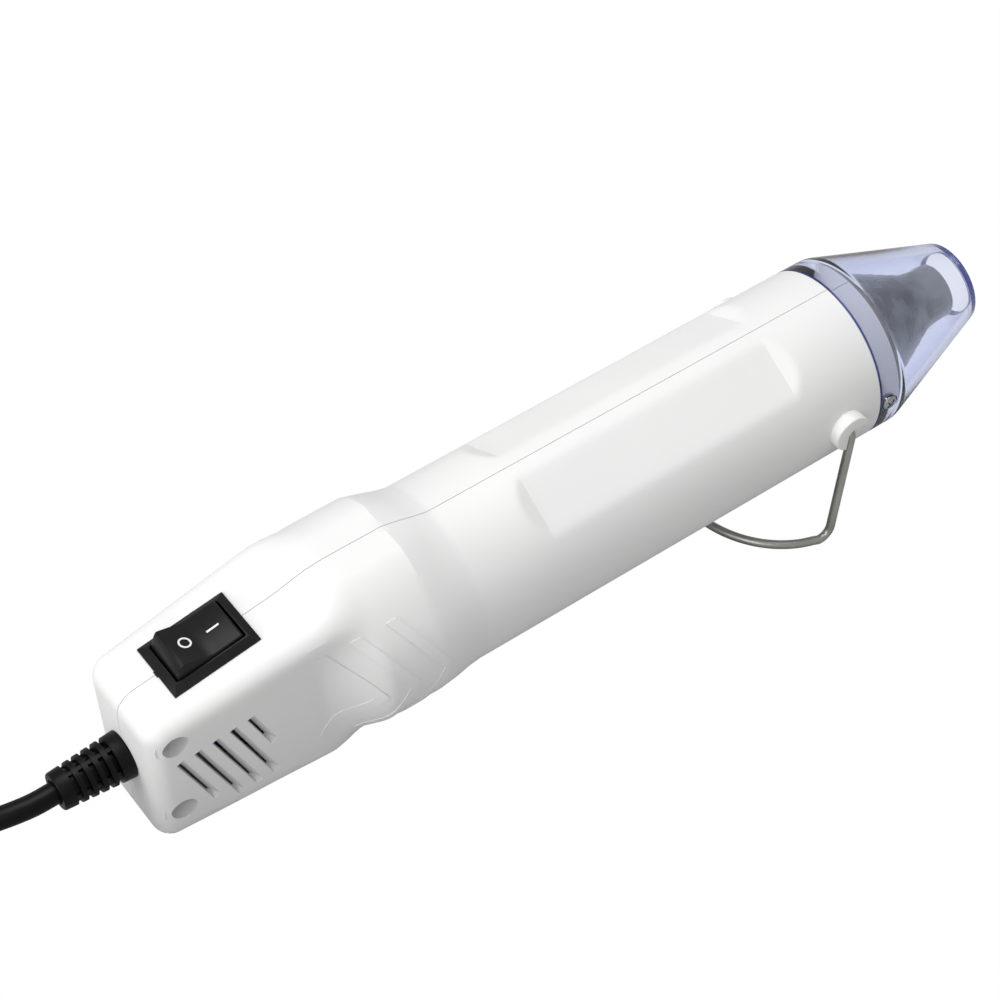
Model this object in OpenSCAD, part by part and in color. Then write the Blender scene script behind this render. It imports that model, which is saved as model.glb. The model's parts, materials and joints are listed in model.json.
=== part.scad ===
// Embossing heat tool with a folding wire stand, a clear nozzle guard and a rocker switch.
// The tool is modelled along its barrel: X runs forward to the nozzle, Y to the left, Z up,
// with zero on the barrel's axis at the front rim of the casing. module posed() then sets the
// whole tool down on its wire stand and rear edge, so that the table is at Z = 0.

/* [Casing] */
// Outer radius of the barrel
barrel_r = 21; // [20.6:0.1:22]
// Length of the barrel, from the front rim to the neck behind it
barrel_len = 110.5; // [106:0.5:116]
// Wall of the barrel and the swelling behind it
barrel_wall = 2.4; // [2.2:0.1:2.5]
// Length of the spigot that carries the guard
spigot_len = 6; // [5:0.1:6.4]
// Wall of the spigot
spigot_wall = 1.8; // [1.4:0.1:1.9]
// Outer radius of the swelling
bulge_r = 23.07; // [22.5:0.01:24]
// Height of the swelling's centre over the barrel's axis
bulge_z = 1.33; // [0.8:0.01:1.8]
// Distance from the front rim back to the swelling's crest
bulge_front = 121; // [118:0.5:124]
// Distance from the front rim back to where the swelling begins
bulge_rear = 131; // [128:0.5:134]

/* [Rear body] */
// Distance from the front rim back to the rear face
rear_x = 186.4; // [184:0.1:190]
// Distance from the front rim back to the end of the flat sides
panel_x = 148; // [145:0.5:152]
// Half width of the rear face at its top
rear_half_top = 13.1; // [12.6:0.1:14]
// Half width of the rear face at its bottom
rear_half_bottom = 11.4; // [11:0.1:12.4]
// Height of the rear face's top edge over the axis
rear_top_z = 15.6; // [15:0.1:16.5]
// Depth of the rear face's bottom edge under the axis
rear_bottom_z = 23.4; // [22.6:0.1:24.4]
// Rounding of the rear body's edges
rear_round = 4.3; // [3.6:0.1:4.8]
// Rise of the flat top towards the front, in degrees
top_slope = 9.25; // [8.5:0.05:9.6]
// Spread of each flat side towards the front, in degrees
side_slope = 3.1; // [2.4:0.1:4]
// Half width of the flat top where it ends
top_flat_half = 6.5; // [5:0.1:8]
// Wall of the rear body
rear_wall = 2.2; // [2:0.1:2.4]

/* [Grip panels] */
// Distance from the front rim back to the panels' front end
grip_front = 19; // [17:0.5:22]
// Distance from the front rim back to the panels' rear end
grip_rear = 91.5; // [86:0.5:96]
// Depth of each flat panel at its middle
grip_depth = 1.3; // [0.8:0.1:1.4]
// Angle of each panel from the top or bottom seam, in degrees
grip_angle = 30; // [27:1:34]

/* [Vents] */
// Number of slots on each side
vent_count = 5; // [3:1:5]
// Width of a slot
vent_w = 1.8; // [1.4:0.1:2]
// Distance between two slots along the tool
vent_pitch = 4.15; // [3.8:0.05:4.3]
// Lean of the slots from upright, in degrees
vent_lean = 23.5; // [20:0.5:26]
// Distance from the front rim back to the first slot's upper end
vent_x = 180.3; // [179:0.1:181]
// Height of the first slot's upper end over the axis
vent_z = 4; // [3:0.1:5]
// Rise of the upper ends from one slot to the next
vent_rise = 0.8; // [0.5:0.1:1]
// Length of the first slot
vent_len_first = 18.5; // [16:0.5:19]
// Length of the slots between
vent_len = 22.5; // [20:0.5:23]
// Length of the last slot
vent_len_last = 12.4; // [10:0.1:14]

/* [Casing screws] */
// Distance from the front rim back to the two screws
case_screw_x = 180.6; // [180:0.1:181]
// Height of the upper screw over the axis
case_screw_top = 10.2; // [9.8:0.1:10.6]
// Depth of the lower screw under the axis
case_screw_bottom = 13; // [12.6:0.1:13.4]
// Radius of the recess over a screw's head
recess_r = 3; // [2.8:0.1:3.2]
// Distance from the seam to the recess's floor
recess_floor = 5; // [4.6:0.1:6]
// Radius of a casing screw's head
case_head_r = 2.6; // [2.4:0.1:2.7]
// Radius of a casing screw's shank
case_shank_r = 1.3; // [1.2:0.05:1.5]
// Reach of a casing screw into the left shell
case_screw_reach = 8; // [7:0.5:9]

/* [Switch] */
// Length of the bezel
bezel_l = 21; // [20.6:0.1:21.4]
// Width of the bezel
bezel_w = 15; // [14.6:0.1:15.4]
// Height of the bezel over the casing
bezel_h = 1.5; // [1.2:0.1:2]
// Slope of the bezel's rim, in its width
bezel_slope = 1.1; // [0.8:0.1:1.4]
// Distance from the front rim back to the switch's centre
switch_x = 166.1; // [165.6:0.1:166.6]
// Length of the switch's body
switch_l = 19.2; // [18.8:0.1:19.4]
// Width of the switch's body
switch_w = 13; // [12.8:0.1:13.2]
// Depth of the switch's body under the casing's surface
switch_d = 12; // [11.8:0.1:12.4]
// Length of the opening for the rocker
rocker_hole_l = 17; // [16.8:0.1:17.4]
// Width of the opening for the rocker
rocker_hole_w = 11.2; // [11:0.1:11.4]
// Tilt of the rocker to either side, in degrees
rocker_tilt = 11; // [9:0.5:12]
// Tilt of the contact bridge to either side, in degrees
contact_tilt = 7; // [5:0.5:7]
// Width of a terminal
terminal_w = 4.8; // [4.4:0.1:5]
// Length of the terminals under the body
terminal_l = 7; // [6:0.5:7.5]

/* [Guard] */
// Length of the guard's straight collar
collar_len = 6.8; // [6.6:0.1:7.4]
// Distance from the front rim to the guard's mouth
guard_len = 38.6; // [37:0.1:40]
// Outer radius of the guard's mouth
guard_mouth_r = 10; // [9.6:0.1:10.6]
// Radius of the hole in the guard's mouth
guard_hole_r = 8; // [7.6:0.1:8.2]
// Thickness of the mouth along the axis
guard_lip = 1.8; // [1.4:0.1:2.2]
// Wall of the guard
guard_wall = 1.8; // [1.6:0.1:1.9]
// Distance from the front rim to the guard's screws
guard_screw_x = 2.6; // [2.5:0.1:3]
// Radius of a guard screw's head
guard_head_r = 1.9; // [1.7:0.1:2]
// Radius of a guard screw's shank
guard_shank_r = 1; // [0.9:0.05:1.1]

/* [Nozzle and heater] */
// Distance from the front rim to the nozzle's mouth
nozzle_len = 33.4; // [32:0.1:34]
// Outer radius of the nozzle's mouth
nozzle_mouth_r = 6.8; // [6.4:0.1:7]
// Length of the nozzle's straight tip
nozzle_tip = 6.4; // [5:0.1:7]
// Thickness of the nozzle's steel
nozzle_wall = 0.5; // [0.4:0.1:0.6]
// Outer radius of the heater tube
tube_r = 16.2; // [15.9:0.1:16.3]
// Thickness of the heater tube
tube_wall = 0.4; // [0.3:0.1:0.5]
// Distance from the front rim back to the heater tube's rear end
tube_rear = 88; // [86:0.5:90]
// Thickness of the rolled mica liner
liner_t = 0.4; // [0.3:0.1:0.5]
// Thickness of the mica cross inside the winding
mica_t = 0.8; // [0.6:0.1:1]
// Radius of the heating winding's middle line
winding_r = 12.6; // [12:0.1:12.8]
// Radius of the heating wire's coil
winding_wire_r = 0.8; // [0.6:0.1:0.9]
// Number of turns of the heating winding
winding_turns = 11; // [8:1:12]
// Length of the heating winding
winding_len = 58; // [52:1:60]
// Radius of the thermal fuse
fuse_r = 1.5; // [1.2:0.1:1.8]
// Length of the thermal fuse
fuse_l = 9; // [8:0.5:11]

/* [Motor and fan] */
// Radius of the motor's can
motor_r = 13.85; // [13.6:0.05:14]
// Length of the motor's can
motor_l = 32.3; // [31:0.1:33]
// Distance from the front rim back to the motor's front face
motor_front = 111.8; // [111.5:0.1:112.4]
// Thickness of the motor's steel and of its rear cap
motor_wall = 1; // [0.8:0.1:1.2]
// Thickness of the rubber sleeve round the motor
sleeve_t = 1.1; // [0.9:0.1:1.3]
// Length of the rubber sleeve
sleeve_l = 16; // [14:0.5:18]
// Radius of the motor's shaft
shaft_r = 1.15; // [1:0.05:1.25]
// Radius of the fan at its blade tips
fan_r = 15.2; // [14.6:0.1:15.4]
// Radius of the fan's hub
fan_hub_r = 5.5; // [5:0.1:6.5]
// Length of the fan's hub
fan_l = 11; // [10:0.5:12]
// Number of blades
fan_blades = 7; // [5:1:9]
// Angle of the blades to the fan's disc, in degrees
blade_angle = 36; // [30:1:42]
// Radius of the rectifier board
board_r = 9.5; // [9:0.1:10]

/* [Wire stand] */
// Distance from the front rim back to the stand's pivot
stand_x = 10.3; // [10:0.1:11.5]
// Height of the stand's pivot over the axis
stand_z = 0.1; // [0:0.1:1]
// Radius of the stand's wire
wire_r = 1.05; // [0.95:0.05:1.1]
// Half distance between the stand's two legs
leg_half = 23; // [22.8:0.1:23.6]
// Length of a leg, from the pivot to the foot
leg_len = 33.6; // [32:0.1:36]
// Lean of the open stand towards the rear, in degrees
stand_lean = 6.1; // [5:0.1:9]
// Radius of the wire's bends at the foot
foot_bend = 3; // [2.4:0.1:4]
// Travel of the stand from open to folded, in degrees
stand_travel = 96; // [94:1:97]
// Radius of the two pivot bosses
boss_r = 4.65; // [4.3:0.05:5]
// Distance from the axis to a boss's end face
boss_y = 23.5; // [23.4:0.1:24]

/* [Cord] */
// Radius of the cord
cord_r = 2.5; // [2.2:0.1:2.8]
// Depth of the cord's exit under the axis
cord_exit_z = 2; // [1.8:0.1:2.2]
// Radius of the strain relief's collar
relief_r = 5.5; // [5.2:0.1:6]
// Radius of the strain relief's tail
relief_tail_r = 4.3; // [4:0.1:4.6]
// Length of the strain relief outside the casing
relief_len = 16.5; // [14:0.5:20]
// Number of grooves on the strain relief
relief_grooves = 5; // [3:1:6]
// Radius of the put-away coil at the middle of its turns
coil_r = 29; // [27:0.5:32]
// Turns in each of the coil's four layers
coil_turns = 1.8; // [1.4:0.1:1.8]
// Distance between neighbouring turns
coil_pitch = 5.5; // [5.5:0.1:6]
// Width of the plug
plug_w = 35.3; // [35:0.1:36]
// Thickness of the plug
plug_h = 13.7; // [13.4:0.1:14]
// Length of the plug's body
plug_l = 34; // [30:1:38]
// Radius of a plug pin
pin_r = 2; // [1.95:0.01:2.05]
// Length of a plug pin
pin_l = 19; // [18.6:0.1:19.4]
// Distance between the two plug pins
pin_spacing = 18.6; // [17.5:0.1:19]

/* [Fits] */
// Radial clearance of a pin or screw in its hole
fit = 0.05; // [0.03:0.01:0.08]
// Clearance between pieces that stand beside each other
gap = 0.2; // [0.1:0.05:0.3]

/* [Hidden] */
$fn = 64;
hull_fn = 32;
far = 60;
bulge_fn = 72;
// Distance between the legs' line and the foot's plane at each bend, and the foot's angle to the legs
foot_angle = 92;
foot_lead = foot_bend * tan(foot_angle / 2);
stand_sides = 12;

// The table touches the rounded rear bottom edge and the outer side of the foot's bends
edge_c = [-rear_x + rear_round, -rear_bottom_z + rear_round];
leg_dir = [-sin(stand_lean), -cos(stand_lean)];
bend_side = [-cos(stand_lean), sin(stand_lean)];
bend_c = [-stand_x, stand_z] + (leg_len - foot_lead) * leg_dir + foot_bend * bend_side;
floor_run = bend_c - edge_c;
pitch = atan2(floor_run[1], floor_run[0]) - asin((foot_bend + wire_r - rear_round) / norm(floor_run));
floor_z = -sin(pitch) * edge_c[0] + cos(pitch) * edge_c[1] - rear_round;
top_edge_z = rear_top_z - rear_round;
low_x = cos(pitch) * edge_c[0] + sin(pitch) * top_edge_z - rear_round;
high_x = cos(pitch) * guard_len - sin(pitch) * guard_mouth_r;
mid_x = (low_x + high_x) / 2;

barrel_in = barrel_r - barrel_wall;
barrel_end = barrel_len + 5.5;
spigot_r = barrel_r - guard_wall - gap;
spigot_in = spigot_r - spigot_wall;
slab_x = 2 * (rear_x + far);
relief_end = rear_x + relief_len;
clamp_x = rear_x - 4.8;
clamp_w = 4;
clamp_pitch = 5.2;
clamp_shank_r = 1;
cord_inner_end = clamp_x - clamp_w - 1.5;
tube_in = tube_r - tube_wall;
liner_r = tube_in - 0.1;
liner_in = liner_r - liner_t;
winding_x = (tube_rear + 10 + winding_len) / 2;
lead_r = 0.8;
lead_y = 3.2;
winding_start = 180 + asin(lead_y / winding_r);
motor_rear = motor_front + motor_l;
sleeve_out = motor_r + fit + sleeve_t;
sleeve_x = bulge_front - 3;
board_x = motor_rear + 4.7;
board_t = 1.4;
cap_t = 2;
shaft_rear = motor_rear + 4;
fan_rear = motor_front - 2;
shaft_front = fan_rear - fan_l - 0.2;
washer_t = 1;
flange_t = 0.6;

pivot_z = -0.8;
rocker_end_r = rocker_hole_l / 2 - gap;
rocker_half_w = rocker_hole_w / 2 - gap;
rocker_dip_z = 2.2;
rocker_face = 13;
plunger_r = 1;
plunger_reach = 6.9;
trunnion_r = 0.9;
contact_z = -8.6;
contact_t = 0.6;
switch_floor = 10.4;
terminal_t = 0.8;
mark_t = 0.12;

// The cord's way over the table, from the strain relief to the coil and from the coil to the plug
cord_way = [[-138.5, 0.7, 19.4], [-143.8, 2.1, 18.7], [-149.5, 4.1, 17], [-155.5, 6.5, 14.7],
    [-161.8, 9.6, 11.7], [-167.8, 13.1, 8.6], [-173.6, 17.1, 5.8], [-179.5, 21.7, 3.6]];
coil_c = [-209.8, 3.4];
coil_base = 0.1;
coil_from = 45;
coil_layers = 4;
end_way = [[-229, 32.4, 20.6], [-236.9, 25.7, 22.2], [-242.5, 16.9, 23.8], [-246.8, 4.9, 25.3],
    [-245.3, -4.6, 26.3], [-240, -11.4, 27.3], [-233, -15.1, 28.2]];
plug_x = -176.5;
plug_y = -16;
plug_z = 22;
plug_sleeve = 12;

function lift(p) = [cos(pitch) * p[0] + sin(pitch) * p[2] - mid_x, p[1],
    -sin(pitch) * p[0] + cos(pitch) * p[2] - floor_z];
function unit(v) = v / norm(v);
function flat_top(x) = rear_top_z + (x + rear_x) * tan(top_slope);
function spread(x) = (x + rear_x) * tan(side_slope);
function half_at(z) = rear_half_bottom
    + (rear_half_top - rear_half_bottom) * (z + rear_bottom_z) / (rear_top_z + rear_bottom_z);

// A tube of triangles swept along points, with its rings turned to a reference direction
function heading(p, i) = unit(p[min(i + 1, len(p) - 1)] - p[max(i - 1, 0)]);
function ring(c, t, r, n, ref) = let (s = unit(cross(t, ref)), u = cross(s, t))
    [for (k = [0:n - 1]) c + r * (cos(360 * k / n) * s + sin(360 * k / n) * u)];
module tube(p, r, n, ref) {
    rings = [for (i = [0:len(p) - 1]) each ring(p[i], heading(p, i), r, n, ref)];
    last = (len(p) - 1) * n;
    sides = [for (i = [0:len(p) - 2]) for (k = [0:n - 1]) let (a = i * n + k, b = i * n + (k + 1) % n)
        each [[a, b, a + n], [b, b + n, a + n]]];
    ends = [for (k = [1:n - 2]) each [[0, k + 1, k], [last, last + k, last + k + 1]]];
    polyhedron(points = rings, faces = concat(sides, ends), convexity = 10);
}
// A smooth curve through points, with steps pieces to each stretch
function knot(p, i) = i < 0 ? 2 * p[0] - p[1]
    : i >= len(p) ? 2 * p[len(p) - 1] - p[len(p) - 2] : p[i];
function between(a, b, c, d, t) = (2 * b + (c - a) * t + (2 * a - 5 * b + 4 * c - d) * t * t
    + (3 * b - a - 3 * c + d) * t * t * t) / 2;
function curve(p, steps) = [for (i = [0:len(p) - 2]) for (k = [0:steps - 1])
    between(knot(p, i - 1), p[i], p[i + 1], knot(p, i + 2), k / steps), p[len(p) - 1]];
// Least distance between the surfaces of two stretches of one tube, more than skip rings apart
function least_gap(p, r, skip) = min([for (i = [0:len(p) - 1 - skip]) for (j = [i + skip:len(p) - 1])
    norm(p[i] - p[j])]) - 2 * r;

module posed() translate([-mid_x, 0, -floor_z]) rotate([0, pitch, 0]) children();
module along(r, x0, x1) translate([x0, 0, 0]) rotate([0, 90, 0]) cylinder(r = r, h = x1 - x0);
module across(r, x, z, y0, y1) translate([x, y1, z]) rotate([90, 0, 0]) cylinder(r = r, h = y1 - y0);
module pipe(r_out, r_in, x0, x1) difference() {
    along(r_out, x0, x1);
    along(r_in, x0 - 1, x1 + 1);
}
module side_of(side) translate([-rear_x - far, side > 0 ? 0 : -far, -far]) cube([slab_x, far, 2 * far]);
module at_switch() translate([-switch_x, 0, flat_top(-switch_x)]) rotate([0, -top_slope, 0]) children();

// Corners of the rear body, rounded by balls whose centres stay while the wall draws the balls in
module corner_balls(x, inset) for (s = [-1, 1]) {
    slope_r = rear_round / cos(top_slope);
    translate([x, s * (rear_half_top + spread(x) - rear_round), flat_top(x) - slope_r])
        sphere(r = rear_round - inset, $fn = hull_fn);
    translate([x, s * (rear_half_bottom + spread(x) - rear_round), -rear_bottom_z + rear_round])
        sphere(r = rear_round - inset, $fn = hull_fn);
}
module crest_balls(inset) for (s = [-1, 1]) {
    crest_x = -bulge_front - rear_round;
    translate([crest_x, s * top_flat_half, bulge_z + bulge_r - rear_round])
        sphere(r = rear_round - inset, $fn = hull_fn);
}
module bulge_disc(x0, x1, inset) translate([x0, 0, bulge_z]) rotate([0, 90, 0])
    cylinder(r = bulge_r - inset, h = x1 - x0, $fn = bulge_fn);
module rear_form(inset) {
    hull() {
        corner_balls(-rear_x + rear_round, inset);
        corner_balls(-panel_x, inset);
    }
    hull() {
        corner_balls(-panel_x, inset);
        bulge_disc(-bulge_rear, -bulge_front, inset);
        crest_balls(inset);
    }
    hull() {
        bulge_disc(-bulge_front - 1, -bulge_front, inset);
        crest_balls(inset);
        translate([-barrel_len + 2.5, 0, 0]) rotate([0, 90, 0])
            cylinder(r = barrel_r - 0.5 - inset, h = 0.1, $fn = bulge_fn);
    }
}
module casing_form() {
    along(barrel_r, -barrel_end, 0);
    along(spigot_r, -2, spigot_len);
    rear_form(0);
    for (s = [-1, 1]) across(boss_r, -stand_x, stand_z, s > 0 ? 15 : -boss_y, s > 0 ? boss_y : -15);
}
module casing_hollow() {
    along(barrel_in, -barrel_end, -2);
    along(spigot_in, -3, spigot_len + 1);
    rear_form(rear_wall);
}
// Ribs that carry the motor's sleeve and the two ends of the heater tube
module casing_ribs() {
    intersection() {
        for (a = [35, 90, 145, -35, -90, -145]) rotate([a, 0, 0])
            translate([-bulge_rear, -1.2, 0]) cube([bulge_rear - bulge_front, 2.4, bulge_r]);
        difference() {
            translate([0, 0, bulge_z]) along(bulge_r - 1, -bulge_rear, -bulge_front);
            along(sleeve_out + fit, -bulge_rear - 1, -bulge_front + 1);
        }
    }
    pipe(barrel_in + 1, tube_r + gap, -tube_rear, -tube_rear + 2);
    pipe(barrel_in + 1, liner_r, -tube_rear - 1.5, -tube_rear);
    pipe(barrel_in + 1, tube_r + gap, -8, -5);
}
module grip_cuts() for (a = [grip_angle, 180 - grip_angle, -grip_angle, grip_angle - 180])
    rotate([a, 0, 0]) translate([-grip_rear, -far / 2, barrel_r - grip_depth])
        cube([grip_rear - grip_front, far, far]);
module vent_cuts(side) for (i = [0:vent_count - 1]) {
    slot = i == 0 ? vent_len_first : i == vent_count - 1 ? vent_len_last : vent_len;
    translate([-vent_x + i * vent_pitch, side > 0 ? 8.5 : -far, vent_z + i * vent_rise])
        rotate([0, -vent_lean, 0]) translate([-vent_w / 2, 0, -slot]) cube([vent_w, far - 8.5, slot]);
}
// The notch in a boss's end lets the leg swing from the open stand round to the folded one
module leg_notch(side) {
    w = wire_r + gap;
    floor_y = leg_half - w;
    a0 = -90 - stand_lean;
    a1 = a0 + stand_travel;
    spread_a = asin(w / (2 * boss_r));
    translate([-stand_x, side > 0 ? boss_y + 1 : -floor_y, stand_z]) rotate([90, 0, 0])
        linear_extrude(boss_y + 1 - floor_y) {
            circle(r = w);
            for (a = [a0, a1]) rotate(a) translate([0, -w]) square([2 * boss_r, 2 * w]);
            polygon([[0, 0], for (k = [0:6]) 2 * boss_r
                * [cos(a0 + (a1 - a0) * k / 6), sin(a0 + (a1 - a0) * k / 6)]]);
        }
}
module screw_posts(side) for (z = [case_screw_top, -case_screw_bottom]) {
    reach = half_at(z) - 1;
    across(side > 0 ? case_shank_r + 1.9 : recess_r + 1.4, -case_screw_x, z,
        side > 0 ? 0 : -reach, side > 0 ? reach : 0);
}
module screw_holes(side) for (z = [case_screw_top, -case_screw_bottom]) {
    across(case_shank_r + fit, -case_screw_x, z, -recess_floor - 1, case_screw_reach + 0.5);
    if (side < 0) across(recess_r, -case_screw_x, z, -far, -recess_floor);
}
module clamp_bridge() translate([-clamp_x, -6.5, -case_screw_bottom + 1])
    cube([clamp_w, 6.5 - cord_r - fit, case_screw_top + case_screw_bottom - 2]);
module clamp_holes(y0, y1) for (s = [-1, 1])
    across(clamp_shank_r + fit, -clamp_x + clamp_w / 2, -cord_exit_z + s * clamp_pitch, y0, y1);
module shell(side) {
    difference() {
        intersection() {
            union() {
                difference() {
                    casing_form();
                    casing_hollow();
                }
                casing_ribs();
                screw_posts(side);
                if (side < 0) clamp_bridge();
            }
            side_of(side);
        }
        grip_cuts();
        vent_cuts(side);
        leg_notch(side);
        screw_holes(side);
        clamp_holes(-5.8, 0);
        across(wire_r + fit, -stand_x, stand_z, side > 0 ? 15 : -boss_y, side > 0 ? boss_y : -15);
        across(guard_shank_r + fit, guard_screw_x, 0, side > 0 ? 15 : -barrel_r, side > 0 ? barrel_r : -15);
        translate([0, 0, -cord_exit_z]) along(relief_neck_r + gap, -rear_x - 1, -rear_x + rear_wall + 1);
        at_switch() translate([-switch_l / 2 - gap, -switch_w / 2 - gap, -8])
            cube([switch_l + 2 * gap, switch_w + 2 * gap, 12]);
    }
}
module left_shell() color("white") posed() shell(1);
module right_shell() color("white") posed() shell(-1);

// A pan head screw along Y with a crossed recess; its head stands on the side of y = head_y
module cross_screw(head_r, head_h, shank_r, x, z, head_y, tip_y) {
    out = head_y > tip_y ? 1 : -1;
    difference() {
        union() {
            across(head_r, x, z, min(head_y, head_y + out * head_h), max(head_y, head_y + out * head_h));
            across(shank_r, x, z, min(head_y, tip_y), max(head_y, tip_y));
        }
        translate([x, head_y + out * head_h, z]) for (a = [45, 135]) rotate([0, a, 0])
            cube([1.3 * head_r, head_h, 0.3 * head_r], center = true);
    }
}
module casing_screws() color("silver") posed() for (z = [case_screw_top, -case_screw_bottom])
    cross_screw(case_head_r, 1.6, case_shank_r, -case_screw_x, z, -recess_floor, case_screw_reach);
guard_head_y = barrel_r - 0.6;
module guard_screws() color("silver") posed() for (s = [-1, 1])
    cross_screw(guard_head_r, 1.1, guard_shank_r, guard_screw_x, 0, s * guard_head_y, s * (spigot_in + 0.3));

// Clear guard: a collar over the spigot and a cone that ends in a thicker mouth
guard_taper = atan((barrel_r - guard_mouth_r) / (guard_len - collar_len));
guard_in = guard_wall / cos(guard_taper);
module spun(profile) rotate([0, 90, 0]) rotate_extrude() polygon(profile);
module nozzle_guard() color([0.79, 0.81, 0.91, 0.4]) posed() difference() {
    lip_x = guard_len - guard_lip;
    lip_r = guard_mouth_r + guard_lip * tan(guard_taper) - guard_in;
    spun([[barrel_r, 0], [barrel_r, collar_len], [guard_mouth_r, guard_len], [guard_hole_r, guard_len],
        [guard_hole_r, lip_x], [lip_r, lip_x], [barrel_r - guard_in, collar_len],
        [barrel_r - guard_wall, collar_len - 0.6], [barrel_r - guard_wall, 0]]);
    for (s = [-1, 1]) {
        across(guard_shank_r + fit, guard_screw_x, 0, s > 0 ? 15 : -far, s > 0 ? far : -15);
        across(guard_head_r + 0.3, guard_screw_x, 0, s > 0 ? guard_head_y : -far,
            s > 0 ? far : -guard_head_y);
    }
}

// Sheet steel nozzle: a skirt over the heater tube, a flange, a cone, a waist and a flared mouth
module nozzle() color([0.35, 0.35, 0.37]) posed() {
    skirt_in = tube_r + fit;
    skirt = skirt_in + nozzle_wall;
    flange_x = spigot_len + washer_t;
    waist_x = nozzle_len - nozzle_tip;
    waist_r = nozzle_mouth_r - 0.6;
    flare_x = nozzle_len - 3.4;
    t = nozzle_wall;
    spun([[skirt, 1], [skirt, flange_x], [spigot_r - 0.6, flange_x], [spigot_r - 0.6, flange_x + flange_t],
        [skirt, flange_x + flange_t], [waist_r, waist_x], [nozzle_mouth_r, flare_x],
        [nozzle_mouth_r, nozzle_len], [nozzle_mouth_r - t, nozzle_len], [nozzle_mouth_r - t, flare_x],
        [waist_r - t, waist_x], [skirt_in, flange_x + flange_t - 0.2], [skirt_in, 1]]);
}
module mica_washer() color([0.78, 0.7, 0.52]) posed()
    pipe(spigot_r - 0.3, tube_r + fit + nozzle_wall + gap, spigot_len, spigot_len + washer_t);
module heater_tube() color([0.45, 0.45, 0.47]) posed() pipe(tube_r, tube_in, -tube_rear, spigot_len);
module mica_liner() color([0.78, 0.7, 0.52]) posed() pipe(liner_r, liner_in, -tube_rear, -2);
// Two crossed mica sheets: wide at both ends, where they sit in the liner, and narrow under the winding
module mica_cross() color([0.82, 0.74, 0.56]) posed() {
    tab = liner_in - 0.1;
    web = winding_r - winding_wire_r - 0.1;
    for (a = [0, 90]) rotate([a, 0, 0]) {
        translate([-tube_rear, -mica_t / 2, -web]) cube([tube_rear - 6, mica_t, 2 * web]);
        for (x = [-tube_rear, -10]) translate([x, -mica_t / 2, -tab]) cube([4, mica_t, 2 * tab]);
    }
}
winding_steps = 24;
winding_path = [for (i = [0:winding_turns * winding_steps]) let (a = winding_start + i * 360 / winding_steps)
    [-winding_x + winding_len * i / (winding_turns * winding_steps), winding_r * sin(a), winding_r * cos(a)]];
module heating_coil() color([0.5, 0.47, 0.45]) {
    echo(least_gap_of_the_winding = least_gap(winding_path, winding_wire_r, winding_steps / 2));
    posed() tube(winding_path, winding_wire_r, 6, [1, 0, 0]);
}
module thermal_fuse() color("white") posed() translate([-winding_x + 14, 0, 0]) {
    seat = mica_t / 2 + fuse_r + fit;
    translate([0, -seat, seat]) along(fuse_r, 0, fuse_l);
    translate([0, -seat, seat]) along(0.4, -4, 0.5);
    translate([0, -seat, seat]) along(0.4, fuse_l - 0.5, fuse_l + 4);
}

// Small direct current motor: a can with its front bearing, a rear cap, magnets and a wound armature
bearing_r = 5;
armature_r = 10;
armature_end = 6;
commutator_r = 3;
commutator_l = 5;
module motor_can() color([0.6, 0.6, 0.62]) posed() difference() {
    union() {
        along(motor_r, -motor_rear, -motor_front);
        along(bearing_r, -motor_front - 0.5, -motor_front + 1.4);
    }
    along(motor_r - motor_wall, -motor_rear - 1, -motor_front - motor_wall);
    along(shaft_r + fit, -motor_rear, -motor_front + 5);
}
module motor_cap() color([0.2, 0.2, 0.22]) posed() difference() {
    union() {
        along(motor_r - 1, -motor_rear - cap_t, -motor_rear);
        along(motor_r - motor_wall - fit, -motor_rear, -motor_rear + 1.5);
        along(3.5, -motor_rear - cap_t - 1.5, -motor_rear);
        for (s = [-1, 1]) translate([-board_x, s * 7 - 1.1, -0.3]) cube([board_x - motor_rear, 2.2, 0.6]);
    }
    along(shaft_r + fit, -motor_rear - 5, -motor_rear + 5);
}
module motor_magnets() color([0.25, 0.25, 0.27]) posed() intersection() {
    pipe(motor_r - motor_wall - fit, 10.6, -motor_rear + 5, -motor_front - 5);
    for (s = [0, 180]) rotate([s, 0, 0]) rotate([45, 0, 0])
        translate([-motor_rear, 0, 0]) cube([motor_l, 20, 20]);
}
module motor_sleeve() color([0.12, 0.12, 0.12]) posed()
    pipe(sleeve_out, motor_r + fit, -sleeve_x - sleeve_l, -sleeve_x);
module motor_armature() color([0.7, 0.45, 0.25]) posed() difference() {
    union() {
        along(armature_r, -motor_rear + armature_end, -motor_front - armature_end);
        along(commutator_r, -motor_rear + armature_end + 1 - commutator_l, -motor_rear + armature_end + 1);
    }
    along(shaft_r + fit, -motor_rear, -motor_front);
    for (i = [0:2]) rotate([120 * i, 0, 0]) translate([-motor_rear + 5, -0.9, 4]) cube([motor_l, 1.8, 10]);
}
module motor_shaft() color("silver") posed() along(shaft_r, -shaft_rear, -shaft_front);
module fan() color([0.15, 0.15, 0.16]) posed() difference() {
    union() {
        translate([-fan_rear, 0, 0]) spun([[0, 0], [fan_hub_r, 0], [fan_hub_r, fan_l - 2],
            [fan_hub_r - 1.5, fan_l], [0, fan_l]]);
        intersection() {
            along(fan_r, -fan_rear + 0.4, -fan_rear + fan_l - 2.4);
            for (i = [0:fan_blades - 1]) rotate([360 * i / fan_blades, 0, 0])
                translate([-fan_rear + fan_l / 2 - 1, 0, fan_hub_r - 1]) rotate([0, 0, blade_angle])
                    translate([-0.5, -5.5, 0]) cube([1, 11, fan_r]);
        }
    }
    along(shaft_r + fit, -fan_rear - 1, -fan_rear + fan_l + 1);
}
module rectifier_board() color([0.2, 0.45, 0.3]) posed() along(board_r, -board_x - board_t, -board_x);
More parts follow.
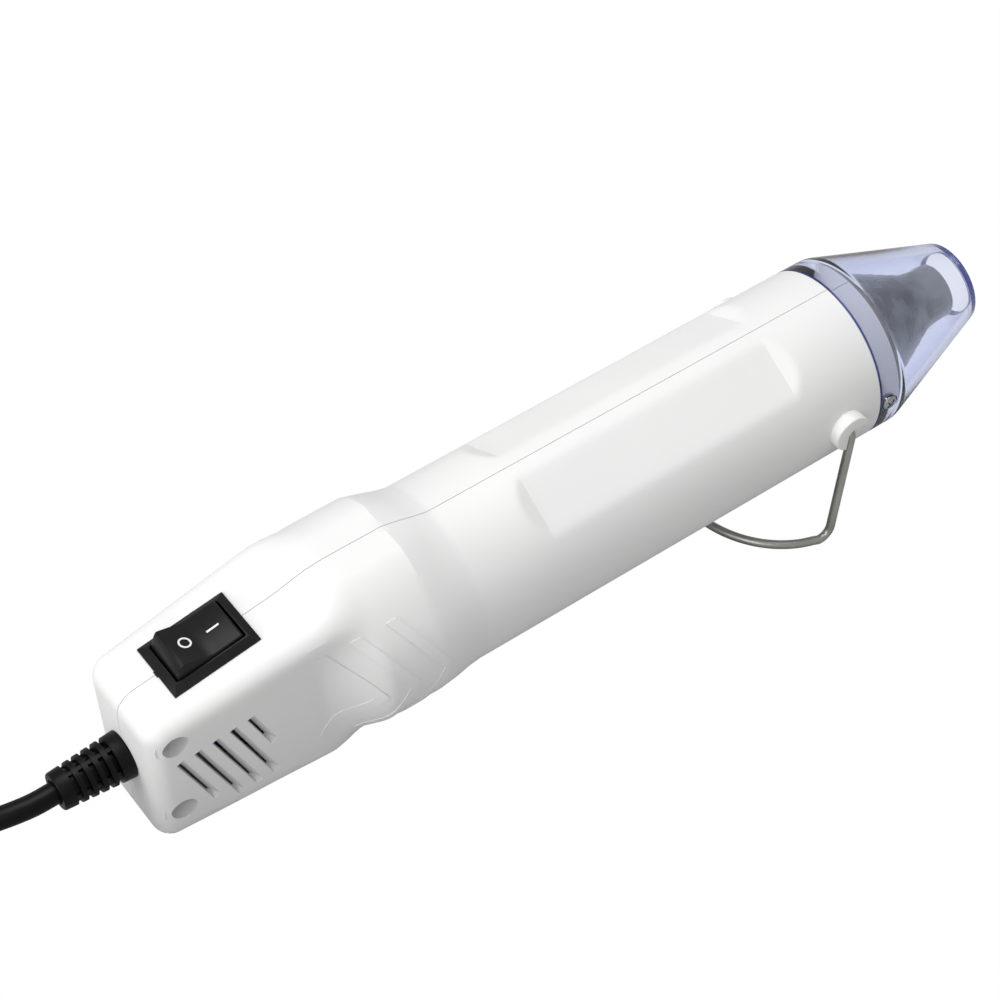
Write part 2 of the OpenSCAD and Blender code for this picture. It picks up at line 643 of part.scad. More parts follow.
module diodes() color([0.1, 0.1, 0.1]) posed() for (y = [-3.4, 3.4]) for (z = [-6.2, 1.2])
    translate([-board_x - board_t - 1.35, y, z]) cylinder(r = 1.35, h = 5);

// Rocker switch: a body with a bezel, two blades, a contact bridge and the rocker over it
module bezel_side(l, w) translate([0, w / 2, 0]) rotate([90, 0, 0]) linear_extrude(w)
    polygon([[-l / 2, 0], [l / 2, 0], [l / 2, 0.4], [l / 2 - bezel_slope, bezel_h],
        [bezel_slope - l / 2, bezel_h], [-l / 2, 0.4]]);
module switch_body() color([0.07, 0.07, 0.07]) posed() at_switch() difference() {
    union() {
        intersection() {
            bezel_side(bezel_l, bezel_w);
            rotate([0, 0, 90]) bezel_side(bezel_w, bezel_l);
        }
        translate([-switch_l / 2, -switch_w / 2, -switch_d]) cube([switch_l, switch_w, switch_d + 0.5]);
    }
    translate([-rocker_hole_l / 2, -rocker_hole_w / 2, -switch_floor])
        cube([rocker_hole_l, rocker_hole_w, switch_floor + bezel_h + 1]);
    across(trunnion_r + fit, 0, pivot_z, -switch_w, switch_w);
    for (x = [0, -6]) translate([x - terminal_t / 2 - fit, -terminal_w / 2 - fit, -switch_d - 1])
        cube([terminal_t + 2 * fit, terminal_w + 2 * fit, 3]);
}
module switch_terminals() color([0.8, 0.75, 0.6]) posed() at_switch() {
    translate([-terminal_t / 2, -terminal_w / 2, -switch_d - terminal_l])
        cube([terminal_t, terminal_w, switch_d + terminal_l + contact_z - 0.3]);
    translate([-6 - terminal_t / 2, -terminal_w / 2, -switch_d - terminal_l])
        cube([terminal_t, terminal_w, terminal_l + switch_d - 9.6]);
    translate([-6, -terminal_w / 2, -switch_floor]) cube([2.6, terminal_w, switch_floor - 9.6]);
}
module switch_contact() color([0.75, 0.5, 0.3]) posed() at_switch() translate([0, 0, contact_z])
    rotate([0, -contact_tilt, 0]) translate([-5.4, -1.5, 0]) cube([10.8, 3, contact_t]);
module at_rocker() at_switch() translate([0, 0, pivot_z]) rotate([0, rocker_tilt, 0]) children();
module switch_rocker() color([0.06, 0.06, 0.06]) posed() at_rocker() {
    rise = 9 * tan(rocker_face);
    dip = rocker_dip_z - pivot_z;
    intersection() {
        translate([0, rocker_half_w, 0]) rotate([90, 0, 0]) linear_extrude(2 * rocker_half_w)
            polygon([[-9, dip + rise], [0, dip], [9, dip + rise], [9, -1.2], [2.2, -2.8],
                [-2.2, -2.8], [-9, -1.2]]);
        across(rocker_end_r, 0, 0, -rocker_half_w, rocker_half_w);
    }
    across(trunnion_r, 0, 0, -switch_w / 2 + gap, switch_w / 2 - gap);
    translate([0, 0, -plunger_reach + plunger_r]) cylinder(r = plunger_r, h = plunger_reach - 3);
    translate([0, 0, -plunger_reach + plunger_r]) sphere(r = plunger_r * 0.999);
}
module switch_marks() color("white") posed() at_rocker() for (s = [-1, 1])
    translate([0, 0, rocker_dip_z - pivot_z]) rotate([0, -s * rocker_face, 0]) translate([s * 3.4, 0, 0])
        if (s > 0) translate([-1.5, -0.22, 0]) cube([3, 0.44, mark_t]);
        else difference() {
            cylinder(r = 1.45, h = mark_t);
            translate([0, 0, -1]) cylinder(r = 1.05, h = 2);
        }

// Wire stand: two pivot ends in the bosses, two legs, and a foot bent back in a half circle
function bend_point(a) = [-foot_bend + foot_bend * cos(a), 0, -(leg_len - foot_lead) - foot_bend * sin(a)];
function foot_point(a) = let (u = leg_half * cos(a)) [-u * sin(foot_angle), leg_half * sin(a),
    -leg_len - u * cos(foot_angle)];
foot_from = 90 - asin(foot_lead / leg_half);
stand_path = concat([[0, leg_half, 0]], [for (k = [0:7]) bend_point(foot_angle * k / 7) + [0, leg_half, 0]],
    [for (k = [1:23]) foot_point(foot_from * (1 - k / 12))],
    [for (k = [7:-1:0]) bend_point(foot_angle * k / 7) - [0, leg_half, 0]], [[0, -leg_half, 0]]);
module wire_stand() color([0.55, 0.55, 0.53]) posed() translate([-stand_x, 0, stand_z])
    rotate([0, stand_lean, 0]) {
        tube(stand_path, wire_r, stand_sides, [1, 1, 1]);
        for (s = [-1, 1]) {
            across(wire_r, 0, 0, s > 0 ? barrel_in - 1.1 : -leg_half, s > 0 ? leg_half : 1.1 - barrel_in);
            translate([0, s * leg_half, 0]) sphere(r = wire_r * 0.998);
        }
    }

module cord_clamp() color([0.75, 0.7, 0.6]) posed() difference() {
    translate([-clamp_x, cord_r + fit, -cord_exit_z - 7.4]) cube([clamp_w, 2.2, 14.8]);
    clamp_holes(0, 9);
}
module clamp_screws() color("silver") posed() for (s = [-1, 1])
    cross_screw(1.8, 1.1, clamp_shank_r, -clamp_x + clamp_w / 2, -cord_exit_z + s * clamp_pitch,
        cord_r + fit + 2.2, -5.5);

blade_end = switch_d + terminal_l;
terminal_in = [-switch_x - 6 * cos(top_slope) + blade_end * sin(top_slope), 0,
    flat_top(-switch_x) - 6 * sin(top_slope) - blade_end * cos(top_slope)];
terminal_out = [-switch_x + blade_end * sin(top_slope), 0, flat_top(-switch_x) - blade_end * cos(top_slope)];
core_out = [-cord_inner_end + 0.3, 0, -cord_exit_z];
board_face = -board_x - board_t - 0.1;
module lead(points) tube(curve(points, 3), lead_r, 6, [0, 1, 0]);
module switch_leads() color([0.45, 0.25, 0.15]) posed() {
    lead([core_out + [0, 1.1, 0.4], core_out + [1.2, 1.1, 0.3], core_out + [2.6, 1.3, -2],
        terminal_in + [-1, 1.4, -5.4], terminal_in + [0.3, 0.6, -3.4], terminal_in + [0, 0, -0.3]]);
    lead([terminal_out + [0, 0, -0.3], terminal_out + [0.3, 0, -2.6], terminal_out + [4, 0, -4.4],
        [board_face - 3, 0, -3.4], [board_face, 0, -3]]);
}
lead_low = 1.3 - barrel_in;
lead_drop = 5;
lead_dip = 15;
lead_turn = 14;
lead_down = 26;
lead_run = 8;
module heater_leads() color([0.2, 0.35, 0.7]) posed() {
    lead([core_out + [0, -1.1, -0.6], core_out + [1.2, -1.1, -0.8], core_out + [3.2, -2, -lead_drop],
        [-cord_inner_end + lead_turn, -lead_y, -lead_dip], [-cord_inner_end + lead_down, -lead_y, lead_low],
        [-sleeve_x - lead_run, -lead_y, lead_low],
        [-sleeve_x + 4, -lead_y, lead_low], [-fan_rear + 4, -lead_y, lead_low],
        [-fan_rear + fan_l + 1, -lead_y, lead_low + 0.2], [-tube_rear - 4, -lead_y, -13],
        [-tube_rear + 4, -lead_y, -12.4], [-winding_x - 1.2, -lead_y, winding_path[0][2]]]);
    lead([[board_face, 6.4, -5], [board_face - 2.6, 6.6, -7.5], [board_face, 6.2, -13],
        [-motor_rear, lead_y + 0.6, lead_low + 0.4], [-sleeve_x - lead_run, lead_y, lead_low],
        [-sleeve_x + 4, lead_y, lead_low], [-fan_rear + 4, lead_y, lead_low],
        [-fan_rear + fan_l + 1, lead_y, lead_low + 0.4], [-tube_rear - 6, 0.4, -11],
        [-tube_rear - 2, -2, -6.5], [-tube_rear + 5, -2.4, -3], [-50, -2.4, -2.4],
        [-winding_x + winding_len - 4, -2.4, -2.4], [-winding_x + winding_len - 0.6, -2.7, -6],
        [-winding_x + winding_len, -2.9, -11]]);
}

// Strain relief: a collar against the rear face, a neck through it, a flange inside and a ribbed tail
groove_step = (relief_len - 5) / relief_grooves;
relief_neck_r = 4.6;
module strain_relief() color([0.08, 0.08, 0.08]) posed() translate([0, 0, -cord_exit_z]) difference() {
    union() {
        rotate([0, -90, 0]) rotate_extrude() polygon([[0, rear_x], [relief_r, rear_x],
            [relief_tail_r, relief_end], [0, relief_end]]);
        along(relief_neck_r, -rear_x - 0.5, -rear_x + rear_wall + 0.5);
        along(relief_neck_r + 1.6, -rear_x + rear_wall + 0.1, -rear_x + rear_wall + 1.6);
    }
    along(cord_r + fit, -relief_end - 1, -rear_x + 10);
    for (i = [0:relief_grooves - 1])
        translate([-rear_x - 4.4 - i * groove_step, 0, 0]) pipe(relief_r + 2, relief_tail_r - 0.9, 0, 1.4);
}
module cord_tail() color([0.06, 0.06, 0.06]) posed() translate([0, 0, -cord_exit_z])
    along(cord_r, -relief_end, -cord_inner_end);

cord_exit = lift([-relief_end, 0, -cord_exit_z]);
cord_lead = lift([-relief_end - 5, 0, -cord_exit_z]);
coil_layer = coil_pitch + 0.1;
coil_steps = 24;
coil_half = coil_turns * coil_pitch / 2;
coil_count = round(coil_turns * coil_steps);
function layer_r(u) = coil_r + coil_half * (abs((u % 2) - 1) * 2 - 1);
function layer_z(u) = let (half = 0.25 / coil_turns, k = floor(u + half), d = (u - k) / (2 * half) + 0.5)
    coil_base + cord_r + coil_layer * (k < 1 ? 0 : k >= coil_layers ? coil_layers - 1 : k - 1 + min(1, d));
coil_path = [for (i = [0:coil_layers * coil_count])
    let (u = i / coil_count, a = coil_from + i * 360 / coil_steps)
    [coil_c[0] + layer_r(u) * cos(a), coil_c[1] + layer_r(u) * sin(a), layer_z(u)]];
coil_last = len(coil_path) - 1;
// A point just off the coil's end i and in line with it, so that two tubes meet there squarely
function off_coil(i, next) = coil_path[i] + (coil_path[i] - coil_path[next]) * 0.05;
to_coil = curve(concat([cord_exit, cord_lead], cord_way, [coil_path[0]]), 2);
module power_cord() color([0.06, 0.06, 0.06])
    tube(concat([for (i = [0:len(to_coil) - 2]) to_coil[i]], [off_coil(0, 1), coil_path[0]]),
        cord_r, 8, [0, 0, 1]);
module cord_coil() color([0.06, 0.06, 0.06]) {
    echo(least_gap_of_the_coil = least_gap(coil_path, cord_r, coil_steps / 2));
    tube(coil_path, cord_r, 6, [0, 0, 1]);
}

// A point beside the plug's front: p[0] along its width, p[1] back along its length
function at_plug(p) = [plug_x - p[1], plug_y + p[0], plug_z + plug_h / 2];
to_plug = curve(concat([coil_path[coil_last]], end_way,
    [at_plug([0, plug_l + plug_sleeve + 4]), at_plug([0, plug_l + plug_sleeve])]), 2);
module cord_end() color([0.06, 0.06, 0.06])
    tube(concat([coil_path[coil_last], off_coil(coil_last, coil_last - 1)],
        [for (i = [1:len(to_plug) - 1]) to_plug[i]]), cord_r, 8, [0, 0, 1]);
// Flat two-pin plug, lying on the coil with its pins towards the tool
module plug_body() color([0.08, 0.08, 0.08]) translate([plug_x, plug_y, plug_z]) rotate([0, 0, 90]) {
    intersection() {
        linear_extrude(plug_h) polygon([[3 - plug_w / 2, 0], [plug_w / 2 - 3, 0], [plug_w / 2, 4],
            [plug_w / 2, plug_l / 2], [9, plug_l], [-9, plug_l], [-plug_w / 2, plug_l / 2],
            [-plug_w / 2, 4]]);
        translate([-plug_w, 0, 0]) rotate([90, 0, 90]) linear_extrude(2 * plug_w)
            polygon([[0, 1.5], [1.5, 0], [plug_l - 12, 0], [plug_l, 1.6], [plug_l, plug_h - 1.6],
                [plug_l - 12, plug_h], [1.5, plug_h], [0, plug_h - 1.5]]);
    }
    translate([0, plug_l - 1, plug_h / 2]) rotate([-90, 0, 0])
        cylinder(r1 = 5, r2 = 4, h = plug_sleeve + 1);
}
module plug_pins() color("silver") for (s = [-1, 1])
    translate(at_plug([s * pin_spacing / 2, 0])) rotate([90, 0, 90]) {
        cylinder(r = pin_r, h = pin_l - pin_r);
        translate([0, 0, pin_l - pin_r]) sphere(r = pin_r * 0.999);
    }

left_shell();
right_shell();
casing_screws();
nozzle_guard();
guard_screws();
nozzle();
mica_washer();
heater_tube();
mica_liner();
mica_cross();
heating_coil();
thermal_fuse();
motor_can();
motor_cap();
motor_magnets();
motor_sleeve();
motor_armature();
motor_shaft();
fan();
rectifier_board();
diodes();
switch_body();
switch_terminals();
switch_contact();
switch_rocker();
switch_marks();
wire_stand();
cord_clamp();
clamp_screws();
heater_leads();
switch_leads();
strain_relief();
cord_tail();
power_cord();
cord_coil();
cord_end();
plug_body();
plug_pins();
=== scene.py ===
# %% [markdown]
# # An embossing heat tool on its wire stand
#
# This lesson dresses an exact CAD model of a slim heat tool: a white moulded casing, a clear guard
# over a steel nozzle, a rocker switch, a folding wire stand, and a cord. The CAD model is loaded as a
# frame that never moves. Pieces whose shape is right keep their CAD mesh and get a material. Pieces
# with soft blends, bends or fine edges are modelled again here, in the same place and size.

import json
import math

import bmesh
import bpy
from mathutils import Matrix, Vector


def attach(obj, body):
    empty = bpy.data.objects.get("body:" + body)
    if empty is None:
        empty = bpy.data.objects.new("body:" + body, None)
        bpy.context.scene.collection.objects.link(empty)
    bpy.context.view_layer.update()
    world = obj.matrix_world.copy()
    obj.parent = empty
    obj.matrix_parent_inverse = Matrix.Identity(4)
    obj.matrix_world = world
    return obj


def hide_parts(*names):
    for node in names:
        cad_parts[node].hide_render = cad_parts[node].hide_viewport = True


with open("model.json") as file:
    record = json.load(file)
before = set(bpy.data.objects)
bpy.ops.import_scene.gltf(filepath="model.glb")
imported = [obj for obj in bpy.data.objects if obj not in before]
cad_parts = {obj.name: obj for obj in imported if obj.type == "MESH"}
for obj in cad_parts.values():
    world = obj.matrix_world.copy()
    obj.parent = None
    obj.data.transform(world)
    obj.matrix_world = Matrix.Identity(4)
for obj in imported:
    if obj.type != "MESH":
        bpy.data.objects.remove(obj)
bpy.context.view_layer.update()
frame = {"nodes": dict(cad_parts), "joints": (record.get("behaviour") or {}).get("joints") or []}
nodes = frame["nodes"]
print("CAD pieces:", len(nodes))

# %% [markdown]
# The tool was measured along its own barrel: X forward from the front rim of the casing, Y to the
# left, Z up, in millimetres. On the table it rests on its stand, so the barrel is a little nose up.
# The motor's joint gives that tilt and place, so one matrix carries every piece into the frame.

# %% Measures along the barrel
MM = 0.001
ROTOR_X = -128.0

rotor = next(joint for joint in frame["joints"] if joint["name"] == "rotor_spin")
barrel_axis = Vector(rotor["axis"]).normalized()
front_rim = Vector(rotor["pos_m"]) - barrel_axis * ROTOR_X * MM
nose_up = math.atan2(barrel_axis.z, barrel_axis.x)
TOOL = Matrix.Translation(front_rim) @ Matrix.Rotation(-nose_up, 4, "Y") @ Matrix.Scale(MM, 4)


def place(x, y, z):
    """A point given along the barrel, in the frame."""
    return TOOL @ Vector((x, y, z))


print("nose up by", round(math.degrees(nose_up), 2), "degrees, front rim at", tuple(front_rim))

# %% [markdown]
# A photograph of a product is usually taken from a little distance with a long lens, which keeps
# the shape calm. The camera looks down on the tool from behind its right side. It could be aimed by
# a constraint, but plain numbers and one roll are easier to read and to change.

# %% Camera
CAMERA_AT = (-0.26547, -0.31393, 0.47988)
CAMERA_LOOKS_AT = (-0.01164, 0.00769, 0.030)
CAMERA_ROLL = 3.3155
LENS = 99.52

look = Vector(CAMERA_LOOKS_AT) - Vector(CAMERA_AT)
camera_data = bpy.data.cameras.new("photo_camera")
camera_data.lens = LENS
camera_data.sensor_width = 36.0
camera_data.clip_start = 0.01
camera = bpy.data.objects.new("photo_camera", camera_data)
bpy.context.scene.collection.objects.link(camera)
camera.matrix_world = (
    Matrix.Translation(CAMERA_AT)
    @ look.to_track_quat("-Z", "Y").to_matrix().to_4x4()
    @ Matrix.Rotation(math.radians(CAMERA_ROLL), 4, "Z")
)
bpy.context.scene.camera = camera
print("camera distance", round(look.length, 3), "m")

# %% [markdown]
# Materials are node trees. They could be drawn by hand in the editor, but a script makes them the
# same way each time. One helper turns a web colour into the linear numbers that the renderer works
# with, one adds any node with its settings and links, and one starts a material and hands back its
# main shader.


# %% Material helpers
def colour(web):
    """An sRGB hex colour as linear RGBA."""
    channels = [int(web[i:i + 2], 16) / 255 for i in (1, 3, 5)]
    linear = [c / 12.92 if c <= 0.04045 else ((c + 0.055) / 1.055) ** 2.4 for c in channels]
    return (*linear, 1.0)


def add_node(tree, kind, links=None, values=None, **settings):
    """A node with its settings, the links into it and its sockets' constants."""
    node = tree.nodes.new(kind)
    for name, value in settings.items():
        setattr(node, name, value)
    for name, output in (links or {}).items():
        tree.links.new(output, node.inputs[name])
    for name, value in (values or {}).items():
        node.inputs[name].default_value = value
    return node


def start_material(name, base, roughness, **values):
    """A material and its Principled shader, with constants on the shader's own sockets."""
    material = bpy.data.materials.new(name)
    material.use_nodes = True
    tree = material.node_tree
    shader = tree.nodes["Principled BSDF"]
    shader.inputs["Base Color"].default_value = colour(base)
    shader.inputs["Roughness"].default_value = roughness
    for socket, value in values.items():
        shader.inputs[socket.replace("_", " ")].default_value = value
    return material, tree, shader


# %% [markdown]
# Real surfaces are never quite even. Four more helpers make one noise on the piece's own
# coordinates, and lead it to the roughness, to fine relief or to the colour. An image texture could
# do that too, but a noise has no seams and stays sharp from close by.


# %% Pattern helpers
def grains(tree, size_mm, detail=2.0, stretch=(1, 1, 1)):
    """A noise whose grains are about size_mm across, on the piece's own coordinates."""
    where = add_node(tree, "ShaderNodeTexCoord").outputs["Object"]
    turned_to = add_node(tree, "ShaderNodeMapping", {"Vector": where},
                         {"Rotation": (0, nose_up, 0), "Scale": stretch})
    noise = add_node(tree, "ShaderNodeTexNoise", {"Vector": turned_to.outputs["Vector"]},
                     {"Scale": 0.5 / (size_mm * MM), "Detail": detail})
    return noise.outputs["Fac"]


def rough_from(tree, shader, pattern, low, high):
    """The pattern's dark and light places become smoother and rougher ones."""
    span = add_node(tree, "ShaderNodeMapRange", {"Value": pattern}, {"From Min": 0.3, "From Max": 0.7,
                                                                     "To Min": low, "To Max": high})
    tree.links.new(span.outputs["Result"], shader.inputs["Roughness"])


def press_in(tree, shader, pattern, depth_mm, strength):
    """The pattern becomes fine hills and hollows, depth_mm high."""
    relief = add_node(tree, "ShaderNodeBump", {"Height": pattern},
                      {"Strength": strength, "Distance": depth_mm * MM})
    tree.links.new(relief.outputs["Normal"], shader.inputs["Normal"])


def tint_from(tree, shader, pattern, dark, light):
    """The pattern mixes two colours that lie close to each other."""
    span = add_node(tree, "ShaderNodeMapRange", {"Value": pattern}, {"From Min": 0.3, "From Max": 0.7})
    mix = add_node(tree, "ShaderNodeMix", {"Factor": span.outputs["Result"]}, data_type="RGBA")
    mix.inputs[6].default_value = colour(dark)
    mix.inputs[7].default_value = colour(light)
    tree.links.new(mix.outputs[2], shader.inputs["Base Color"])


# %% [markdown]
# ## The cord
# A mains cord is PVC: satin black, faintly pebbled, and a little shinier where it is handled. It
# leaves the strain relief straight, bends down to the table under its weight and is put away as a
# round coil behind the tool, with its plug lying on it. One curve along the whole way is the simplest
# form, and its bevel gives the round section.

# %% Black PVC
cord_black, tree, shader = start_material("flexible_black_pvc", "#070708", 0.46, Specular_IOR_Level=0.15)
# The fine pebble breaks up the shine, so the cord reads as soft plastic and not as lacquer
press_in(tree, shader, grains(tree, 0.35), 0.05, 0.25)
# Slow changes of gloss and tone are what hands and dust leave along it
rough_from(tree, shader, grains(tree, 14), 0.36, 0.5)
tint_from(tree, shader, grains(tree, 20), "#060607", "#0B0B0C")
print("made", cord_black.name)

# %% [markdown]
# The way has three parts. It leaves the strain relief along the barrel's line, bends down to the
# table, and becomes a coil of four layers, which spirals in, out, in and out again. From the top
# layer it climbs in one loop to the back of the plug, which lies flat on the coil. The points are
# those of the CAD model's tubes, so what is seen and what collides are one and the same.

# %% Measures of the cord
CORD_R = 2.5
RELIEF_END = -202.9
CORD_DROP = -2.0
WAY_OUT = [(-138.5, 0.7, 19.4), (-143.8, 2.1, 18.7), (-149.5, 4.1, 17), (-155.5, 6.5, 14.7),
           (-161.8, 9.6, 11.7), (-167.8, 13.1, 8.6), (-173.6, 17.1, 5.8), (-179.5, 21.7, 3.6)]
COIL_CENTRE = (-209.8, 3.4)
COIL_R = 29.0
COIL_TURNS = 1.8
COIL_PITCH = 5.5
COIL_LAYERS = 4
COIL_FROM = 45
COIL_STEPS = 24
COIL_BASE = 0.1
WAY_TO_PLUG = [(-229, 32.4, 20.6), (-236.9, 25.7, 22.2), (-242.5, 16.9, 23.8), (-246.8, 4.9, 25.3),
               (-245.3, -4.6, 26.3), (-240, -11.4, 27.3), (-233, -15.1, 28.2)]
PLUG_AT = (-176.5, -16.0, 22.0)
PLUG_W, PLUG_H, PLUG_L, PLUG_SLEEVE = 35.3, 13.7, 34.0, 12.0
AT_PLUG = Matrix.Translation(PLUG_AT) @ Matrix.Rotation(math.pi / 2, 4, "Z")
print("cord", 2 * CORD_R, "mm thick, coiled to", 2 * COIL_R, "mm across at the middle of its turns")

# %% The coil's turns
coil_count = round(COIL_TURNS * COIL_STEPS)
coil_half = COIL_TURNS * COIL_PITCH / 2


def coil_point(i):
    """One point of the coil: it spirals in and out, and climbs a layer where it reverses."""
    u = i / coil_count
    angle = math.radians(COIL_FROM + i * 360 / COIL_STEPS)
    radius = COIL_R + coil_half * (abs((u % 2) - 1) * 2 - 1)
    half = 0.25 / COIL_TURNS
    k = math.floor(u + half)
    climb = min(1, (u - k) / (2 * half) + 0.5)
    layer = 0 if k < 1 else COIL_LAYERS - 1 if k >= COIL_LAYERS else k - 1 + climb
    height = COIL_BASE + CORD_R + layer * (COIL_PITCH + 0.1)
    return (COIL_CENTRE[0] + radius * math.cos(angle), COIL_CENTRE[1] + radius * math.sin(angle), height)


print("coil starts at", [round(v, 1) for v in coil_point(0)])


# %% The cord's way
def smooth_way(points, steps):
    """A curve through all the points, with steps pieces to each stretch."""
    p = [Vector(q) for q in points]
    p = [2 * p[0] - p[1]] + p + [2 * p[-1] - p[-2]]
    way = []
    for a, b, c, d in zip(p, p[1:], p[2:], p[3:]):
        for k in range(steps):
            t = k / steps
            way.append(0.5 * (2 * b + (c - a) * t + (2 * a - 5 * b + 4 * c - d) * t ** 2
                              + (3 * b - a - 3 * c + d) * t ** 3))
    return way + [p[-2]]


exit_point = place(RELIEF_END, 0, CORD_DROP)
exit_lead = place(RELIEF_END - 5, 0, CORD_DROP)
plug_back = AT_PLUG @ Vector((0, PLUG_L + PLUG_SLEEVE, PLUG_H / 2))
plug_lead = AT_PLUG @ Vector((0, PLUG_L + PLUG_SLEEVE + 4, PLUG_H / 2))
cord_points = (
    [exit_point / MM, exit_lead / MM]
    + WAY_OUT
    + [coil_point(i) for i in range(COIL_LAYERS * coil_count + 1)]
    + WAY_TO_PLUG
    + [plug_lead, plug_back]
)
cord_way = [point * MM for point in smooth_way(cord_points, 3)]

# %% [markdown]
# The tube could be swept face by face. A curve with a bevel does the same from its points alone, and
# its length can be measured and changed at any time.


# %% The cord as one curve
def tube_curve(name, points, radius_mm, material):
    """A round tube along points in metres, as a curve of one open spline."""
    data = bpy.data.curves.new(name, "CURVE")
    data.dimensions = "3D"
    data.bevel_depth = radius_mm * MM
    data.bevel_resolution = 5
    data.use_fill_caps = True
    spline = data.splines.new("POLY")
    spline.points.add(len(points) - 1)
    for spot, point in zip(spline.points, points):
        spot.co = (*point, 1)
    spline.use_smooth = True
    data.materials.append(material)
    piece = bpy.data.objects.new(name, data)
    bpy.context.scene.collection.objects.link(piece)
    return piece


cord = tube_curve("mains_cord", cord_way, CORD_R, cord_black)
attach(cord, "casing")
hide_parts("power_cord", "cord_coil", "cord_end")
print("made", cord.name)

# %% [markdown]
# ## Helpers for turned, lofted and cut pieces
# Each rigid piece is made along the barrel in millimetres, then carried into the frame by one
# matrix, so the finished object sits at the origin. It could be left in place by its own transform,
# but then patterns on its coordinates would slide when the piece is exported. Smooth shading stops
# at edges sharper than a set angle, which is how a moulded or turned part reads.


# %% Finishing a piece
def finish_mesh(bm, name, material, body, replaced=(), sharp=30, matrix=TOOL):
    """Makes the piece's object, with its normals out, its material and the body that it rides on."""
    bmesh.ops.remove_doubles(bm, verts=bm.verts, dist=0.0005)
    # From the barrel's millimetres into the frame
    bmesh.ops.transform(bm, matrix=matrix, verts=bm.verts)
    bmesh.ops.recalc_face_normals(bm, faces=bm.faces)
    mesh = bpy.data.meshes.new(name)
    bm.to_mesh(mesh)
    bm.free()
    for face in mesh.polygons:
        face.use_smooth = True
    mesh.set_sharp_from_angle(angle=math.radians(sharp))
    mesh.materials.append(material)
    piece = bpy.data.objects.new(name, mesh)
    bpy.context.scene.collection.objects.link(piece)
    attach(piece, body)
    if replaced:
        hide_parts(*replaced)
    print("made", name, "with", len(mesh.polygons), "faces")
    return piece


# %% [markdown]
# Most pieces of this tool are round or flat. A round one is its half section, spun about the barrel
# by the spin operator. A flat one is its outline, pushed out by extrude. Real moulded and pressed
# parts have no knife edges, so both start from outlines whose corners are rounded.


# %% Turned pieces
def turned(profile, steps=96):
    """A solid of revolution about the barrel's axis, from (x, radius) points that go round its section."""
    bm = bmesh.new()
    spots = [bm.verts.new((x, 0, radius)) for x, radius in profile]
    pairs = list(zip(spots, spots[1:] + spots[:1]))
    edges = [bm.edges.new(pair) for pair in pairs if pair[0].co.z > 0 or pair[1].co.z > 0]
    bmesh.ops.spin(
        bm, geom=spots + edges, axis=(1, 0, 0), cent=(0, 0, 0), angle=math.tau, steps=steps, use_merge=True
    )
    bmesh.ops.remove_doubles(bm, verts=bm.verts, dist=0.0005)
    bmesh.ops.recalc_face_normals(bm, faces=bm.faces)
    return bm


# %% Round corners and flat pieces
def rounded(points, radii, steps):
    """A closed outline whose corners are rounded, each by its own radius, in so many steps."""
    out = []
    befores, afters = points[-1:] + points[:-1], points[1:] + points[:1]
    for before, corner, after, radius in zip(befores, points, afters, radii):
        c = Vector(corner)
        to_before, to_after = Vector(before) - c, Vector(after) - c
        reach = min(radius, to_before.length * 0.45, to_after.length * 0.45)
        if reach <= 0:
            out.append(tuple(c))
            continue
        start, end = c + to_before.normalized() * reach, c + to_after.normalized() * reach
        for k in range(steps + 1):
            t = k / steps
            out.append(tuple((1 - t) ** 2 * start + 2 * t * (1 - t) * c + t ** 2 * end))
    return out


def slab(outline, low, high):
    """A flat outline in X and Z, pushed along Y from low to high."""
    bm = bmesh.new()
    face = bm.faces.new([bm.verts.new((x, low, z)) for x, z in outline])
    pushed = bmesh.ops.extrude_face_region(bm, geom=[face])["geom"]
    moved = [part for part in pushed if isinstance(part, bmesh.types.BMVert)]
    bmesh.ops.translate(bm, verts=moved, vec=(0, high - low, 0))
    bmesh.ops.recalc_face_normals(bm, faces=bm.faces)
    return bm


def soften(bm, edges, radius, segments=2):
    """Rounds the given edges."""
    bmesh.ops.bevel(bm, geom=list(edges), offset=radius, segments=segments, profile=0.5, affect="EDGES",
                    material=-1)


# %% Joined pieces and tubes
def join(bm, other, matrix=Matrix()):
    """Adds another mesh's faces, carried by matrix, and frees that mesh."""
    other.transform(matrix)
    scratch = bpy.data.meshes.new("scratch")
    other.to_mesh(scratch)
    other.free()
    bm.from_mesh(scratch)
    bpy.data.meshes.remove(scratch)


def tube(points, radius, resolution):
    """A round tube through points, all in one unit, as a mesh with closed ends."""
    data = bpy.data.curves.new("scratch_tube", "CURVE")
    data.dimensions = "3D"
    data.bevel_depth = radius
    data.bevel_resolution = resolution
    data.use_fill_caps = True
    spline = data.splines.new("POLY")
    spline.points.add(len(points) - 1)
    for spot, point in zip(spline.points, points):
        spot.co = (*point, 1)
    scratch = bpy.data.objects.new("scratch_tube", data)
    bpy.context.scene.collection.objects.link(scratch)
    bpy.context.view_layer.update()
    mesh = bpy.data.meshes.new_from_object(scratch.evaluated_get(bpy.context.evaluated_depsgraph_get()))
    bm = bmesh.new()
    bm.from_mesh(mesh)
    bpy.data.objects.remove(scratch)
    bpy.data.curves.remove(data)
    bpy.data.meshes.remove(mesh)
    bmesh.ops.remove_doubles(bm, verts=bm.verts, dist=radius * 0.001)
    return bm


# %% [markdown]
# ## White casing
# The casing is two ABS halves from a spark-eroded mould: a very fine, matt grain on an off-white
# body. It scatters light evenly, with only a wide, weak sheen, so the form shows by its shading.

# %% Spark-grained white ABS
white_abs, tree, shader = start_material("spark_grained_white_abs", "#E4E4E4", 0.52, Specular_IOR_Level=0.4)
# The mould's spark grain is too fine to see as dots, and takes the wet look off the highlights
press_in(tree, shader, grains(tree, 0.3, detail=4), 0.05, 0.12)
